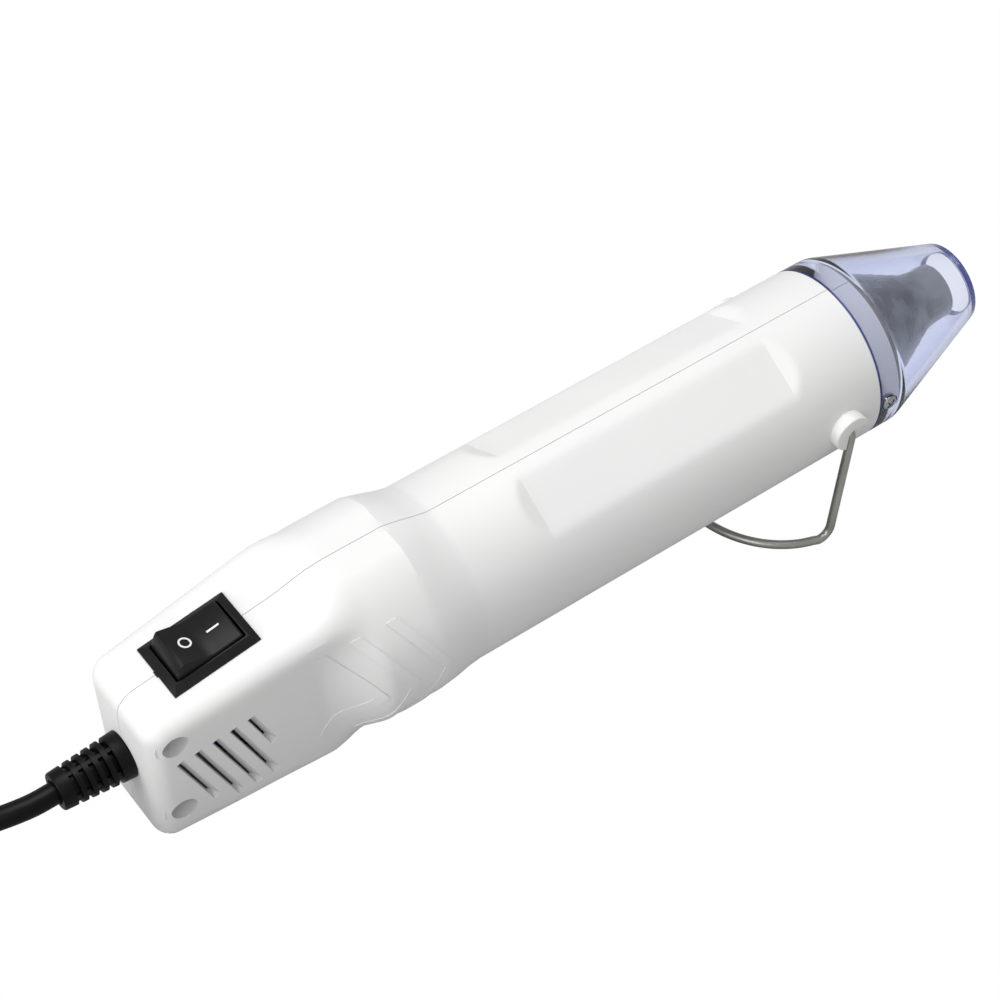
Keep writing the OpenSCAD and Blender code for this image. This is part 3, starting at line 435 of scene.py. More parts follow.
# Handling polishes the skin here and there, and the plastic's white drifts by a hair
rough_from(tree, shader, grains(tree, 9), 0.46, 0.58)
tint_from(tree, shader, grains(tree, 30), "#E2E2E2", "#E8E8E7")
print("made", white_abs.name)

# %% [markdown]
# The casing's rear is a rounded box that flares into a round swelling and then the barrel, which has
# four shallow grip flats. It could be sculpted, or joined from a box and a cylinder, but the joint
# would show. A loft keeps it one skin: rings of points along the tool, each shaped by a formula and
# bridged to the next. A ring's shape blends from a rounded box to a circle, so the flare is soft.

# %% Measures of the casing
REAR_X, REAR_HALF_TOP, REAR_HALF_BOTTOM = -186.4, 13.1, 11.4
REAR_TOP, REAR_BOTTOM, REAR_ROUND = 15.6, -23.4, 4.3
TOP_RISE = math.tan(math.radians(9.25))
SIDE_SPREAD = math.tan(math.radians(3.1))
BULGE_R, BULGE_Z = 23.07, 1.33
BULGE_CREST, BULGE_START, BARREL_START = -121.0, -133.5, -109.6
BARREL_R, WALL = 21.0, 2.3
GRIP_FRONT, GRIP_REAR, GRIP_PLANE, GRIP_ANGLE, GRIP_END = -18.5, -92.0, 19.7, math.radians(30), 3.4
SPIGOT_R, SPIGOT_IN, SPIGOT_LEN = 19.0, 17.2, 6.0
RIM_CHAMFER = 0.35
RING = 144
print("casing", -REAR_X, "mm long, barrel", 2 * BARREL_R, "mm across")


# %% Soft steps and keys
def ease(t):
    """A soft step from 0 to 1."""
    t = min(1.0, max(0.0, t))
    return t * t * (3 - 2 * t)


def along_keys(x, keys):
    """The value at x between keys (x, value), straight from one to the next."""
    if x <= keys[0][0]:
        return keys[0][1]
    for (x0, v0), (x1, v1) in zip(keys, keys[1:]):
        if x <= x1:
            return v0 + (v1 - v0) * (x - x0) / (x1 - x0)
    return keys[-1][1]


# %% [markdown]
# Each form is written as its distance from the centre line at an angle, because distances blend
# well: the flare is a share of one form and a share of the other. The box has no simple formula, so
# its distance is found by halving a stretch until it meets the skin.


# %% The box at the rear
def box_reach(x, angle, inset):
    """Distance from the swelling's centre line to the rounded box, at an angle from straight up."""
    spread = (x - REAR_X) * SIDE_SPREAD
    top = REAR_TOP + (x - REAR_X) * TOP_RISE - inset
    bottom = REAR_BOTTOM + inset
    corner = max(0.2, REAR_ROUND - inset)
    dy, dz = math.sin(angle), math.cos(angle)
    lean = (REAR_HALF_TOP - REAR_HALF_BOTTOM) / (REAR_TOP - REAR_BOTTOM)
    low, high = 0.0, 60.0
    for _ in range(26):
        middle = (low + high) / 2
        y, z = abs(dy) * middle, BULGE_Z + dz * middle
        side = REAR_HALF_BOTTOM + lean * (z - REAR_BOTTOM) + spread - inset
        pushes = [z - top, bottom - z, y - side]
        out = math.sqrt(sum(max(0.0, push + corner) ** 2 for push in pushes)) - corner
        low, high = (middle, high) if out < 0 else (low, middle)
    return middle


# %% The round forms and the grips
def round_reach(x, angle):
    """Distance to the swelling, the neck and the barrel, with the swelling's slightly flat crest."""
    radius = along_keys(x, [(BULGE_CREST, BULGE_R), (-116.4, 22.3), (-112.6, 21.45),
                            (BARREL_START, BARREL_R)])
    flat = ease((x + 113) / (BULGE_CREST + 113))
    turn = abs((angle + math.pi) % math.tau - math.pi)
    crest = min(1 / math.cos(min(turn, 1.0)), 1.041) - 1
    crest *= 1 - ease((turn - math.radians(17)) / math.radians(38))
    return radius * (1 + flat * crest)


def grip_reach(x, angle):
    """Distance to the nearest of the four grip flats, which rise to the barrel's skin at their ends."""
    turn = abs((angle + math.pi) % math.tau - math.pi)
    off = min(abs(turn - GRIP_ANGLE), abs(math.pi - GRIP_ANGLE - turn))
    past = max(0.0, x - (GRIP_FRONT - GRIP_END), GRIP_REAR + GRIP_END - x)
    if off > 1 or past > 3 * GRIP_END:
        return 99.0
    return (GRIP_PLANE + past * (BARREL_R - GRIP_PLANE) / GRIP_END) / math.cos(off)


def soft_least(a, b, blend):
    """The smaller of two values, with the corner between them rounded off."""
    near = max(0.0, blend - abs(a - b)) / blend
    return min(a, b) - near * near * blend / 4


# %% The whole outline
def ring_centre(x):
    """Height of the ring's centre: the swelling sits a little higher than the barrel."""
    return along_keys(x, [(BULGE_CREST, BULGE_Z), (BARREL_START, 0.0)])


def casing_reach(x, angle, inset=0.0):
    """The casing's outline at x: the box at the rear, the round forms at the front."""
    turn = abs((angle + math.pi) % math.tau - math.pi)
    # The flat side ends a little further back at its top than at its bottom
    flare_from = -149.5 + 4.5 * ease(turn / math.pi)
    share = ease((x - flare_from) / (BULGE_START - flare_from))
    if share <= 0:
        return box_reach(x, angle, inset)
    if share >= 1:
        skin = round_reach(x, angle) - inset
        return skin if inset else soft_least(skin, grip_reach(x, angle), 0.35)
    return (1 - share) * box_reach(x, angle, inset) + share * (round_reach(x, angle) - inset)


print("half width at the flat side's end:", round(casing_reach(-150, math.pi / 2), 2))


# %% Rings along the casing
def add_ring(bm, x, reach, centre):
    """One closed ring of points round the barrel's axis, with its reach given by the angle."""
    ring = bmesh.ops.create_circle(bm, cap_ends=False, radius=1.0, segments=RING)["verts"]
    for spot in ring:
        angle = math.atan2(spot.co.x, spot.co.y)
        distance = reach(angle)
        spot.co = (x, distance * math.sin(angle), centre + distance * math.cos(angle))
    return list({edge for spot in ring for edge in spot.link_edges})


def loft(bm, rings):
    """Bridges each ring to the next."""
    for first, second in zip(rings, rings[1:]):
        bmesh.ops.bridge_loops(bm, edges=first + second)


def cap(bm, ring):
    """Closes a ring with one face."""
    bmesh.ops.edgeloop_fill(bm, edges=ring)


# %% Stations of the rings
rear_fillet = [(REAR_X + REAR_ROUND * (1 - math.sin(a)), REAR_ROUND * (1 - math.cos(a)))
               for a in (math.radians(90 - 15 * k) for k in range(6, -1, -1))]
rear_fillet = sorted(rear_fillet)
body_stations = [-178, -172, -166, -160, -155, -152]
body_stations += [-150 + 0.75 * k for k in range(24)]
body_stations += [-131, -128, -125, -122.5, -121, -119.5, -118, -116.4, -115, -113.8, -112.6, -111.6]
body_stations += [-110.6, -109.6, -108.6, -100, -94]
body_stations += [GRIP_REAR + 0.5 * k for k in range(-2, 12)] + [-80, -70, -60, -50, -40, -30]
body_stations += [GRIP_FRONT - 0.5 * k for k in range(11, -3, -1)] + [-15, -5, -RIM_CHAMFER]
print("rings lie closest together where the shape changes most:", len(body_stations), "stations")

# %% The casing's skin and its inner wall
HAIR = 0.03

shell = bmesh.new()
rings = [add_ring(shell, x, lambda a, x=x, i=inset: box_reach(x, a, i), BULGE_Z) for x, inset in rear_fillet]
rings += [add_ring(shell, x, lambda a, x=x: casing_reach(x, a), ring_centre(x)) for x in body_stations]
# Rings that would share a plane are a hair apart, so that bridging knows which way round they go
front_end = [(0, BARREL_R - RIM_CHAMFER), (HAIR, SPIGOT_R), (SPIGOT_LEN, SPIGOT_R),
             (SPIGOT_LEN - HAIR, SPIGOT_IN), (-3, SPIGOT_IN), (-3 - HAIR, BARREL_R - WALL)]
for x, radius in front_end:
    rings.append(add_ring(shell, x, lambda a, r=radius: r, 0.0))
inner_stations = [-5] + [x for x in reversed(body_stations) if -182 < x < -108]
rings += [add_ring(shell, x, lambda a, x=x: casing_reach(x, a, WALL), ring_centre(x)) for x in inner_stations]
rings.append(add_ring(shell, REAR_X + WALL, lambda a: box_reach(REAR_X + WALL, a, WALL + 0.5), BULGE_Z))
loft(shell, rings)
cap(shell, rings[0])
cap(shell, rings[-1])
bmesh.ops.recalc_face_normals(shell, faces=shell.faces)
print("casing loft has", len(shell.faces), "faces in", len(rings), "rings")

# %% [markdown]
# Bosses, posts and ribs are joined to the casing, and openings are cut from it, with boolean
# modifiers. The faces could be cut and bridged by hand, but on a curved skin a boolean finds the
# line where two shapes meet, and it is exact. Each tool is a small mesh of its own.


# %% Blocks and cylinders
def cylinder_across(bm, x, z, radius, y0, y1, segments=48):
    """A cylinder along Y between y0 and y1."""
    stand_up = Matrix.Translation((x, (y0 + y1) / 2, z)) @ Matrix.Rotation(math.pi / 2, 4, "X")
    made = bmesh.ops.create_cone(
        bm, cap_ends=True, radius1=radius, radius2=radius, depth=abs(y1 - y0), segments=segments,
        matrix=stand_up,
    )
    return made["verts"]


def block(bm, low, high, matrix=Matrix()):
    """A box between two corners, carried by matrix."""
    middle = [(a + b) / 2 for a, b in zip(low, high)]
    size = [b - a for a, b in zip(low, high)]
    made = bmesh.ops.create_cube(
        bm, size=1, matrix=matrix @ Matrix.Translation(middle) @ Matrix.Diagonal((*size, 1))
    )
    return made["verts"]


# %% Booleans
def hold(bm):
    """A scratch object for a boolean."""
    mesh = bpy.data.meshes.new("scratch")
    bm.to_mesh(mesh)
    bm.free()
    scratch = bpy.data.objects.new("scratch", mesh)
    bpy.context.scene.collection.objects.link(scratch)
    return scratch


def boolean(bm, tool, operation):
    """The mesh after a boolean with tool, whose pieces may overlap each other."""
    a, b = hold(bm), hold(tool)
    change = a.modifiers.new("cut", "BOOLEAN")
    change.object = b
    change.operation = operation
    change.solver = "EXACT"
    change.use_self = True
    bpy.context.view_layer.update()
    result = bmesh.new()
    result.from_mesh(a.evaluated_get(bpy.context.evaluated_depsgraph_get()).data)
    for scratch in (a, b):
        mesh = scratch.data
        bpy.data.objects.remove(scratch)
        bpy.data.meshes.remove(mesh)
    return result


# %% [markdown]
# Outside stand the two bosses that hold the wire stand. Inside are the posts that the casing's
# screws bite into, six ribs round the motor's rubber sleeve, and two collars that hold the heater
# tube. The clear guard and the vents let little of this be seen, but the tool comes apart right.

# %% What stands on the casing's walls
SCREW_X, SCREW_TOP, SCREW_BOTTOM = -180.6, 10.2, -13.0
RECESS_R, RECESS_FLOOR, POST_R, CASE_SHANK_R = 3.0, -5.0, 3.2, 1.3
BOSS_X, BOSS_Z, BOSS_R, BOSS_Y, WIRE_R, LEG_Y = -10.3, 0.1, 4.65, 23.5, 1.05, 23.0
SLEEVE_R, TUBE_R, LINER_R, TUBE_REAR = 15.05, 16.4, 15.7, -88.0
COLLAR_OUT = 19.6


def half_width(x, z):
    """Half the width of the casing's flat sides."""
    lean = (REAR_HALF_TOP - REAR_HALF_BOTTOM) / (REAR_TOP - REAR_BOTTOM)
    return REAR_HALF_BOTTOM + lean * (z - REAR_BOTTOM) + (x - REAR_X) * SIDE_SPREAD


additions = bmesh.new()
for side in (-1, 1):
    cylinder_across(additions, BOSS_X, BOSS_Z, BOSS_R, side * 18.9, side * BOSS_Y, segments=64)
rims = [e for e in additions.edges if all(abs(abs(v.co.y) - BOSS_Y) < 0.01 for v in e.verts)]
soften(additions, rims, 0.4, 3)
for z in (SCREW_TOP, SCREW_BOTTOM):
    skin = half_width(SCREW_X, z)
    cylinder_across(additions, SCREW_X, z, RECESS_R + 1.4, 1 - skin, 0.03)
    cylinder_across(additions, SCREW_X, z, POST_R, -0.03, skin - 1)
shell = boolean(shell, additions, "UNION")

ribs = bmesh.new()
for degrees in (35, 90, 145, -35, -90, -145):
    top = 21.6 + BULGE_Z * math.cos(math.radians(degrees))
    block(ribs, (-131, -1.2, SLEEVE_R), (-121, 1.2, top), Matrix.Rotation(math.radians(degrees), 4, "X"))
rear_collar = [(TUBE_REAR - 1.5, COLLAR_OUT), (TUBE_REAR + 2, COLLAR_OUT), (TUBE_REAR + 2, TUBE_R),
               (TUBE_REAR, TUBE_R), (TUBE_REAR, LINER_R), (TUBE_REAR - 1.5, LINER_R)]
join(ribs, turned(rear_collar))
join(ribs, turned([(-8, COLLAR_OUT), (-5, COLLAR_OUT), (-5, TUBE_R), (-8, TUBE_R)]))
shell = boolean(shell, ribs, "UNION")
print("casing with its posts and ribs has", len(shell.faces), "faces")

# %% [markdown]
# Slots, screw recesses and the switch's opening are cut out, as a mould's inserts leave them. The
# vents are louvres: a straight slot would show the motor and let fingers in, so the front wall of
# each slot leans back and leaves a thin gap, and that lit wall is what the eye sees.

# %% Measures of the openings
# Each vent: x and z of its top end, and its length
VENTS = [(-180.3, 4.0, 18.5), (-176.15, 4.8, 22.5), (-172.0, 5.6, 22.5), (-167.85, 6.4, 22.5),
         (-163.7, 7.2, 12.4)]
VENT_W, VENT_GAP, VENT_LEAN = 1.8, 0.35, math.radians(23.5)
SWITCH_X = -166.1
SWITCH_Z = REAR_TOP + (SWITCH_X - REAR_X) * TOP_RISE
AT_SWITCH = Matrix.Translation((SWITCH_X, 0, SWITCH_Z)) @ Matrix.Rotation(math.radians(-9.25), 4, "Y")
GUARD_SCREW_X, GUARD_SCREW_R = 2.6, 1.0
OPEN_LEAN, STAND_TRAVEL = 6.1, 96
print(len(VENTS), "vents on each side, the longest", max(vent[2] for vent in VENTS), "mm")


# %% A louvre slot
def slot(bm, x, z, length, side):
    """A louvre slot: its front wall slopes back, so that only a thin gap is open at the bottom."""
    skin = half_width(x, z - length / 2)
    half, gap = VENT_W / 2, VENT_GAP - VENT_W / 2
    across, down = Vector((math.cos(VENT_LEAN), 0, math.sin(VENT_LEAN))), Vector((math.sin(VENT_LEAN), 0, -1))
    sections = [(skin + 6, half, 0.0, length), (skin - 0.1, half, 0.0, length),
                (skin - WALL - 0.1, gap, 0.3, length - 1.4), (skin - WALL - 3, gap, 0.3, length - 1.4)]
    loops = []
    for y, front, start, end in sections:
        corners = [(-half, start), (front, start), (front, end), (-half, end)]
        middle = Vector((x, side * y, z))
        loops.append([bm.verts.new(middle + across * a + down * b) for a, b in corners])
    for outer, inner in zip(loops, loops[1:]):
        for k in range(4):
            bm.faces.new((outer[k], outer[k - 1], inner[k - 1], inner[k]))
    bm.faces.new(loops[0])
    bm.faces.new(reversed(loops[-1]))


# %% What is cut from the casing
HOLE_IN_REAR_R = 4.8

cutters = bmesh.new()
for x, z, length in VENTS:
    for side in (-1, 1):
        slot(cutters, x, z, length, side)
bmesh.ops.recalc_face_normals(cutters, faces=cutters.faces)
for z in (SCREW_TOP, SCREW_BOTTOM):
    cylinder_across(cutters, SCREW_X, z, RECESS_R, -30, RECESS_FLOOR)
    cylinder_across(cutters, SCREW_X, z, CASE_SHANK_R, RECESS_FLOOR - 1, 8.5)
block(cutters, (-9.8, -6.7, -8), (9.8, 6.7, 4), AT_SWITCH)
across_axis = Matrix.Rotation(math.pi / 2, 4, "Y")
bmesh.ops.create_cone(cutters, cap_ends=True, radius1=HOLE_IN_REAR_R, radius2=HOLE_IN_REAR_R, depth=12,
                      segments=48, matrix=Matrix.Translation((REAR_X, 0, CORD_DROP)) @ across_axis)
for side in (-1, 1):
    cylinder_across(cutters, GUARD_SCREW_X, 0, GUARD_SCREW_R, side * 15, side * 20.9)
    cylinder_across(cutters, BOSS_X, BOSS_Z, WIRE_R, side * 15, side * 22.5)
shell = boolean(shell, cutters, "DIFFERENCE")
print("cut casing has", len(shell.faces), "faces")

# %% [markdown]
# The end of each boss has a notch. The wire leg leaves the boss through it, and the notch is as wide
# as the leg's swing, from the open stand round to the folded one. Its outline is drawn from that
# swing, so the stand can't run into its own boss.

# %% The notch in each boss
NOTCH_REACH = 9
half_w = WIRE_R + 0.2
swing = [math.radians(-90 - OPEN_LEAN + STAND_TRAVEL * k / 8) for k in range(9)]
outline = [(half_w * math.sin(swing[0]), -half_w * math.cos(swing[0]))]
fan_edge = [(NOTCH_REACH * math.cos(a), NOTCH_REACH * math.sin(a)) for a in swing]
outline += [(fan_edge[0][0] + outline[0][0], fan_edge[0][1] + outline[0][1])] + fan_edge
side_off = (-half_w * math.sin(swing[-1]), half_w * math.cos(swing[-1]))
outline += [(fan_edge[-1][0] + side_off[0], fan_edge[-1][1] + side_off[1]), side_off]
outline += [(half_w * math.cos(math.radians(d)), half_w * math.sin(math.radians(d))) for d in (115, 140, 165)]
outline = [(BOSS_X + x, BOSS_Z + z) for x, z in outline]
notches = slab(outline, LEG_Y - half_w, BOSS_Y + 2)
join(notches, slab(outline, -BOSS_Y - 2, half_w - LEG_Y))
shell = boolean(shell, notches, "DIFFERENCE")
print("casing with its notches has", len(shell.faces), "faces")

# %% [markdown]
# The casing is moulded as two halves, and their seam is a fine grey line along the top. A drawn line
# would look painted, so the skin is cut in two with a real gap, a seventh of a millimetre wide.

# %% The two halves
SEAM = 0.07
for side, name, node in ((1, "left_half", "left_shell"), (-1, "right_half", "right_shell")):
    keep = bmesh.new()
    block(keep, (-200, min(SEAM * side, 40 * side), -40), (20, max(SEAM * side, 40 * side), 40))
    half = boolean(shell.copy(), keep, "INTERSECT")
    finish_mesh(half, name, white_abs, "casing", replaced=(node,), sharp=16)
shell.free()

# %% [markdown]
# Three flat arrows stand a hair above the right flank of the swelling, and point the way of the air.
# Each is a grid bent into a V: its points are laid on the casing by the same formula as the rings.
# They could be projected by a Shrinkwrap modifier, but the formula keeps their height exact.

# %% Airflow arrows
ARROW_TIPS = (-135.7, -127.9, -119.4)
ARROW_W, ARROW_REACH, ARROW_SLOPE, ARROW_HIGH, ARROW_SUNK = 2.5, math.radians(43.5), 0.572, 0.2, -0.4


def on_flank(tip, across, back, lift):
    """A spot of the arrow: across runs from -1 to 1 over its height, back from its front edge."""
    turn = across * ARROW_REACH
    x = tip - abs(turn) * BULGE_R * ARROW_SLOPE - back * ARROW_W
    angle = -(math.pi / 2 + turn)
    reach = casing_reach(x, angle) + lift
    return (x, reach * math.sin(angle), ring_centre(x) + reach * math.cos(angle))


arrows = bmesh.new()
for tip in ARROW_TIPS:
    top = bmesh.ops.create_grid(arrows, x_segments=56, y_segments=4, size=1.0)["verts"]
    faces = list({face for spot in top for face in spot.link_faces})
    pushed = bmesh.ops.extrude_face_region(arrows, geom=faces, use_keep_orig=True)["geom"]
    under = [part for part in pushed if isinstance(part, bmesh.types.BMVert)]
    for spots, lift in ((top, ARROW_HIGH), (under, ARROW_SUNK)):
        for spot in spots:
            spot.co = on_flank(tip, spot.co.x, (spot.co.y + 1) / 2, lift)
finish_mesh(arrows, "airflow_arrows", white_abs, "casing", sharp=35)

# %% [markdown]
# ## Clear guard and steel nozzle
# The guard is clear polycarbonate with a faint blue tint, moulded as a collar and a cone. It is
# turned from its section with small rounded corners. Light that runs along inside the wall is
# absorbed on its long way, so its edges look deep blue: the volume's absorption gives that. A blue
# surface colour alone would tint the whole cone evenly, like painted glass.

# %% Blue-tinted polycarbonate
clear_blue, tree, shader = start_material("blue_tinted_polycarbonate", "#F6F8FE", 0.03, IOR=1.585,
                                          Transmission_Weight=1.0)
# The polish is a little uneven, so what is seen through it stays clear and highlights stay soft
rough_from(tree, shader, grains(tree, 12), 0.02, 0.05)
tinted_wall = add_node(tree, "ShaderNodeVolumeAbsorption", values={"Color": colour("#93A8E4"), "Density": 42})
tree.links.new(tinted_wall.outputs["Volume"], tree.nodes["Material Output"].inputs["Volume"])
# Seen along the wall the plastic is thick, so the tint deepens towards the rims of what is in view
edge_on = add_node(tree, "ShaderNodeLayerWeight", values={"Blend": 0.25}).outputs["Facing"]
deepened = add_node(tree, "ShaderNodeMix", {"Factor": edge_on}, data_type="RGBA")
deepened.inputs[6].default_value = colour("#F8F9FE")
deepened.inputs[7].default_value = colour("#7A94D8")
tree.links.new(deepened.outputs[2], shader.inputs["Base Color"])

# The cut end of the collar and the wall of the mouth's hole gather the light, and look navy blue
edge_blue, tree, shader = start_material("deep_blue_plastic_edge", "#2B3C92", 0.12, IOR=1.585,
                                         Transmission_Weight=0.5)
rough_from(tree, shader, grains(tree, 3), 0.08, 0.2)
print("made", clear_blue.name, "and", edge_blue.name)

# %% [markdown]
# The guard is a collar with the barrel's radius and a cone that narrows to a small mouth. It is one
# section, spun round, so the wall has an inside and an outside and light bends in it as it should.

# %% The guard
GUARD_LEN, COLLAR_LEN, MOUTH_R, MOUTH_HOLE_R, LIP, GUARD_WALL = 38.6, 6.8, 10.0, 8.0, 1.8, 1.8
taper = math.atan((BARREL_R - MOUTH_R) / (GUARD_LEN - COLLAR_LEN))
cone_wall = GUARD_WALL / math.cos(taper)
lip_r = MOUTH_R + LIP * math.tan(taper) - cone_wall
section = [(0.05, BARREL_R), (COLLAR_LEN, BARREL_R), (GUARD_LEN, MOUTH_R), (GUARD_LEN, MOUTH_HOLE_R),
           (GUARD_LEN - LIP, MOUTH_HOLE_R), (GUARD_LEN - LIP, lip_r), (COLLAR_LEN, BARREL_R - cone_wall),
           (COLLAR_LEN - 0.6, BARREL_R - GUARD_WALL), (0.05, BARREL_R - GUARD_WALL)]
guard = turned(rounded(section, [0.25, 0.8, 0.5, 0.4, 0.2, 0.2, 0.5, 0.3, 0.2], 3), 120)
recesses = bmesh.new()
for side in (-1, 1):
    cylinder_across(recesses, GUARD_SCREW_X, 0, 2.2, side * 20.4, side * 24)
    cylinder_across(recesses, GUARD_SCREW_X, 0, GUARD_SCREW_R + 0.05, side * 15, side * 21)
guard = boolean(guard, recesses, "DIFFERENCE")
for face in guard.faces:
    where = face.calc_center_median()
    rear_edge = where.x < 0.3
    hole_wall = where.x > GUARD_LEN - LIP and math.hypot(where.y, where.z) < MOUTH_HOLE_R + 0.3
    face.material_index = 1 if rear_edge or hole_wall else 0
guard_piece = finish_mesh(guard, "clear_guard", clear_blue, "casing", ("nozzle_guard",), sharp=28)
guard_piece.data.materials.append(edge_blue)

# %% [markdown]
# The nozzle is drawn from galvanised sheet, and heat has darkened it. Zinc crystals leave cloudy
# patches a few millimetres across. One noise gives the patches, and a ramp along the barrel lightens
# the colour of the last stretch before the mouth as a painted highlight.

# %% Heat-darkened galvanised steel
dark_zinc, tree, shader = start_material("heat_darkened_galvanised_steel", "#626566", 0.34, Metallic=1.0)
patches = grains(tree, 3.0, detail=5)
# A painted highlight: a ramp along the barrel lightens the colour over the last stretch before the mouth
PAINTED_HIGHLIGHT_FROM, PAINTED_HIGHLIGHT_TO = place(25, 0, 0).x, place(32, 0, 0).x
along = add_node(tree, "ShaderNodeSeparateXYZ",
                 {"Vector": add_node(tree, "ShaderNodeTexCoord").outputs["Object"]}).outputs["X"]
painted_highlight = add_node(tree, "ShaderNodeMapRange", {"Value": along},
                   {"From Min": PAINTED_HIGHLIGHT_FROM, "From Max": PAINTED_HIGHLIGHT_TO, "To Min": 0.0, "To Max": 0.32})
# The zinc patches and the painted highlight are added before they pick the colour
patches_and_painted_highlight = add_node(tree, "ShaderNodeMath", {0: patches, 1: painted_highlight.outputs["Result"]}, operation="ADD")
tint_from(tree, shader, patches_and_painted_highlight.outputs[0], "#242727", "#868A8A")
# The crystals differ in gloss too, and the drawn sheet is faintly wavy, which breaks up reflections
rough_from(tree, shader, patches, 0.2, 0.36)
press_in(tree, shader, grains(tree, 5), 0.25, 0.25)
print("made", dark_zinc.name)

# %% [markdown]
# The nozzle is a wide skirt with a thin flange, a cone, and a short straight spout for a tip to slide
# into. It is half a millimetre of sheet all the way, so its section is drawn inside and outside.

# %% The nozzle
NOZZLE_LEN, NOZZLE_R, SHEET = 33.4, 6.8, 0.5
skirt_in = 16.25
skirt = skirt_in + SHEET
flange_x, flange_r, flange_t = SPIGOT_LEN + 1.0, SPIGOT_R - 0.6, 0.6
waist_x, waist_r, flare_x = NOZZLE_LEN - 7.0, NOZZLE_R + 0.5, NOZZLE_LEN - 3.4
section = [(1, skirt), (flange_x, skirt), (flange_x, flange_r), (flange_x + flange_t, flange_r),
           (flange_x + flange_t, skirt), (waist_x, waist_r), (flare_x, NOZZLE_R), (NOZZLE_LEN, NOZZLE_R),
           (NOZZLE_LEN, NOZZLE_R - SHEET), (flare_x, NOZZLE_R - SHEET), (waist_x, waist_r - SHEET),
           (flange_x + flange_t - 0.2, skirt_in), (1, skirt_in)]
nozzle = turned(rounded(section, [0.1, 0, 0.2, 0.2, 0.6, 1.6, 1.2, 0.15, 0.15, 1.2, 1.6, 0.5, 0.1], 3), 96)
finish_mesh(nozzle, "steel_nozzle", dark_zinc, "casing", replaced=("nozzle",), sharp=28)

# %% [markdown]
# ## Screws
# Small pan head screws with a crossed slot, zinc plated. The head is turned from its section, and
# the crossed slot is cut from it with two short blocks. The thread is out of sight in the plastic,
# so the shank is left plain.

# %% Zinc plated screws
zinc_plate, tree, shader = start_material("zinc_plated_screw_steel", "#B4B6B9", 0.3, Metallic=1.0)
# Plating is bright but a little cloudy, so a screw glints without being a mirror
rough_from(tree, shader, grains(tree, 1.2), 0.24, 0.38)
print("made", zinc_plate.name)


# %% A screw with a crossed slot
def cross_screw(head_r, head_h, shank_r, length):
    """A pan head screw along +X, with the underside of its head at x = 0 and its tip at -length."""
    dome = [(head_h * (0.45 + 0.55 * math.sin(a)), head_r * (0.3 + 0.7 * math.cos(a)))
            for a in (math.radians(15 * k) for k in range(7))]
    screw = turned([(-length, 0), (-length, shank_r * 0.5), (-length + shank_r, shank_r), (0, shank_r),
                    (0, head_r)] + dome + [(head_h, 0)], 40)
    slots = bmesh.new()
    arm, half_slot = 0.68 * head_r, 0.17 * head_r
    for angle in (45, 135):
        block(slots, (0.3 * head_h, -arm, -half_slot), (2 * head_h, arm, half_slot),
              Matrix.Rotation(math.radians(angle), 4, "X"))
    return boolean(screw, slots, "DIFFERENCE")


def screw_at(bm, x, y, z, side, sizes):
    """Adds a screw whose head faces the given side of the tool."""
    join(bm, cross_screw(*sizes), Matrix.Translation((x, y, z)) @ Matrix.Rotation(side * math.pi / 2, 4, "Z"))


# %% The screws in their places
case_screws, guard_screws, clamp_screws = bmesh.new(), bmesh.new(), bmesh.new()
for z in (SCREW_TOP, SCREW_BOTTOM):
    screw_at(case_screws, SCREW_X, RECESS_FLOOR, z, -1, (2.6, 1.6, CASE_SHANK_R, 13))
for side in (-1, 1):
    screw_at(guard_screws, GUARD_SCREW_X, side * 20.4, 0, side, (1.9, 1.1, GUARD_SCREW_R, 2.9))
    screw_at(clamp_screws, -179.6, 4.75, CORD_DROP + side * 5.2, 1, (1.8, 1.1, 1.0, 10.25))
finish_mesh(case_screws, "casing_cross_screws", zinc_plate, "casing", ("casing_screws",))
finish_mesh(guard_screws, "guard_cross_screws", zinc_plate, "casing", ("guard_screws",))
finish_mesh(clamp_screws, "clamp_cross_screws", zinc_plate, "casing", ("clamp_screws",))

# %% [markdown]
# ## Rocker switch
# A black nylon snap-in switch. Nylon from a polished mould is satin, and catches light on edges, so
# the finish is dark with a weak, wide sheen, and the edges of the pieces get small bevels for it.

# %% Satin black nylon
black_nylon, tree, shader = start_material("moulded_black_nylon", "#101011", 0.36, Specular_IOR_Level=0.2)
press_in(tree, shader, grains(tree, 0.4, detail=3), 0.03, 0.15)
rough_from(tree, shader, grains(tree, 5), 0.33, 0.45)
tint_from(tree, shader, grains(tree, 8), "#0E0E0F", "#141415")
print("made", black_nylon.name)

# %% [markdown]
# The switch's bezel slopes down on all four sides. It starts as a flat block, whose top is extruded
# up and scaled inwards. The body below it and a small latch at the rear are joined to it, and the
# well for the rocker, its pivot holes and the slits for two terminals are cut out.

# %% Measures of the switch
BEZEL_L, BEZEL_W, BEZEL_H, BEZEL_FOOT, BEZEL_SLOPE = 21.0, 15.0, 1.5, 0.35, 1.65
HOLE_L, HOLE_W, SWITCH_L, SWITCH_W, SWITCH_D = 17.0, 11.2, 19.2, 13.0, 12.0
PIVOT_Z, TRUNNION_R, ROCKER_ENDS, ROCKER_HALF_W = -0.8, 0.9, 8.3, 5.4
WELL_DEPTH, TRUNNION_REACH, TERMINAL_HALF_T, TERMINAL_HALF_W = 10.4, 6.3, 0.45, 2.45
print("bezel", BEZEL_L, "by", BEZEL_W, "mm, in a hole of", SWITCH_L, "by", SWITCH_W, "mm")

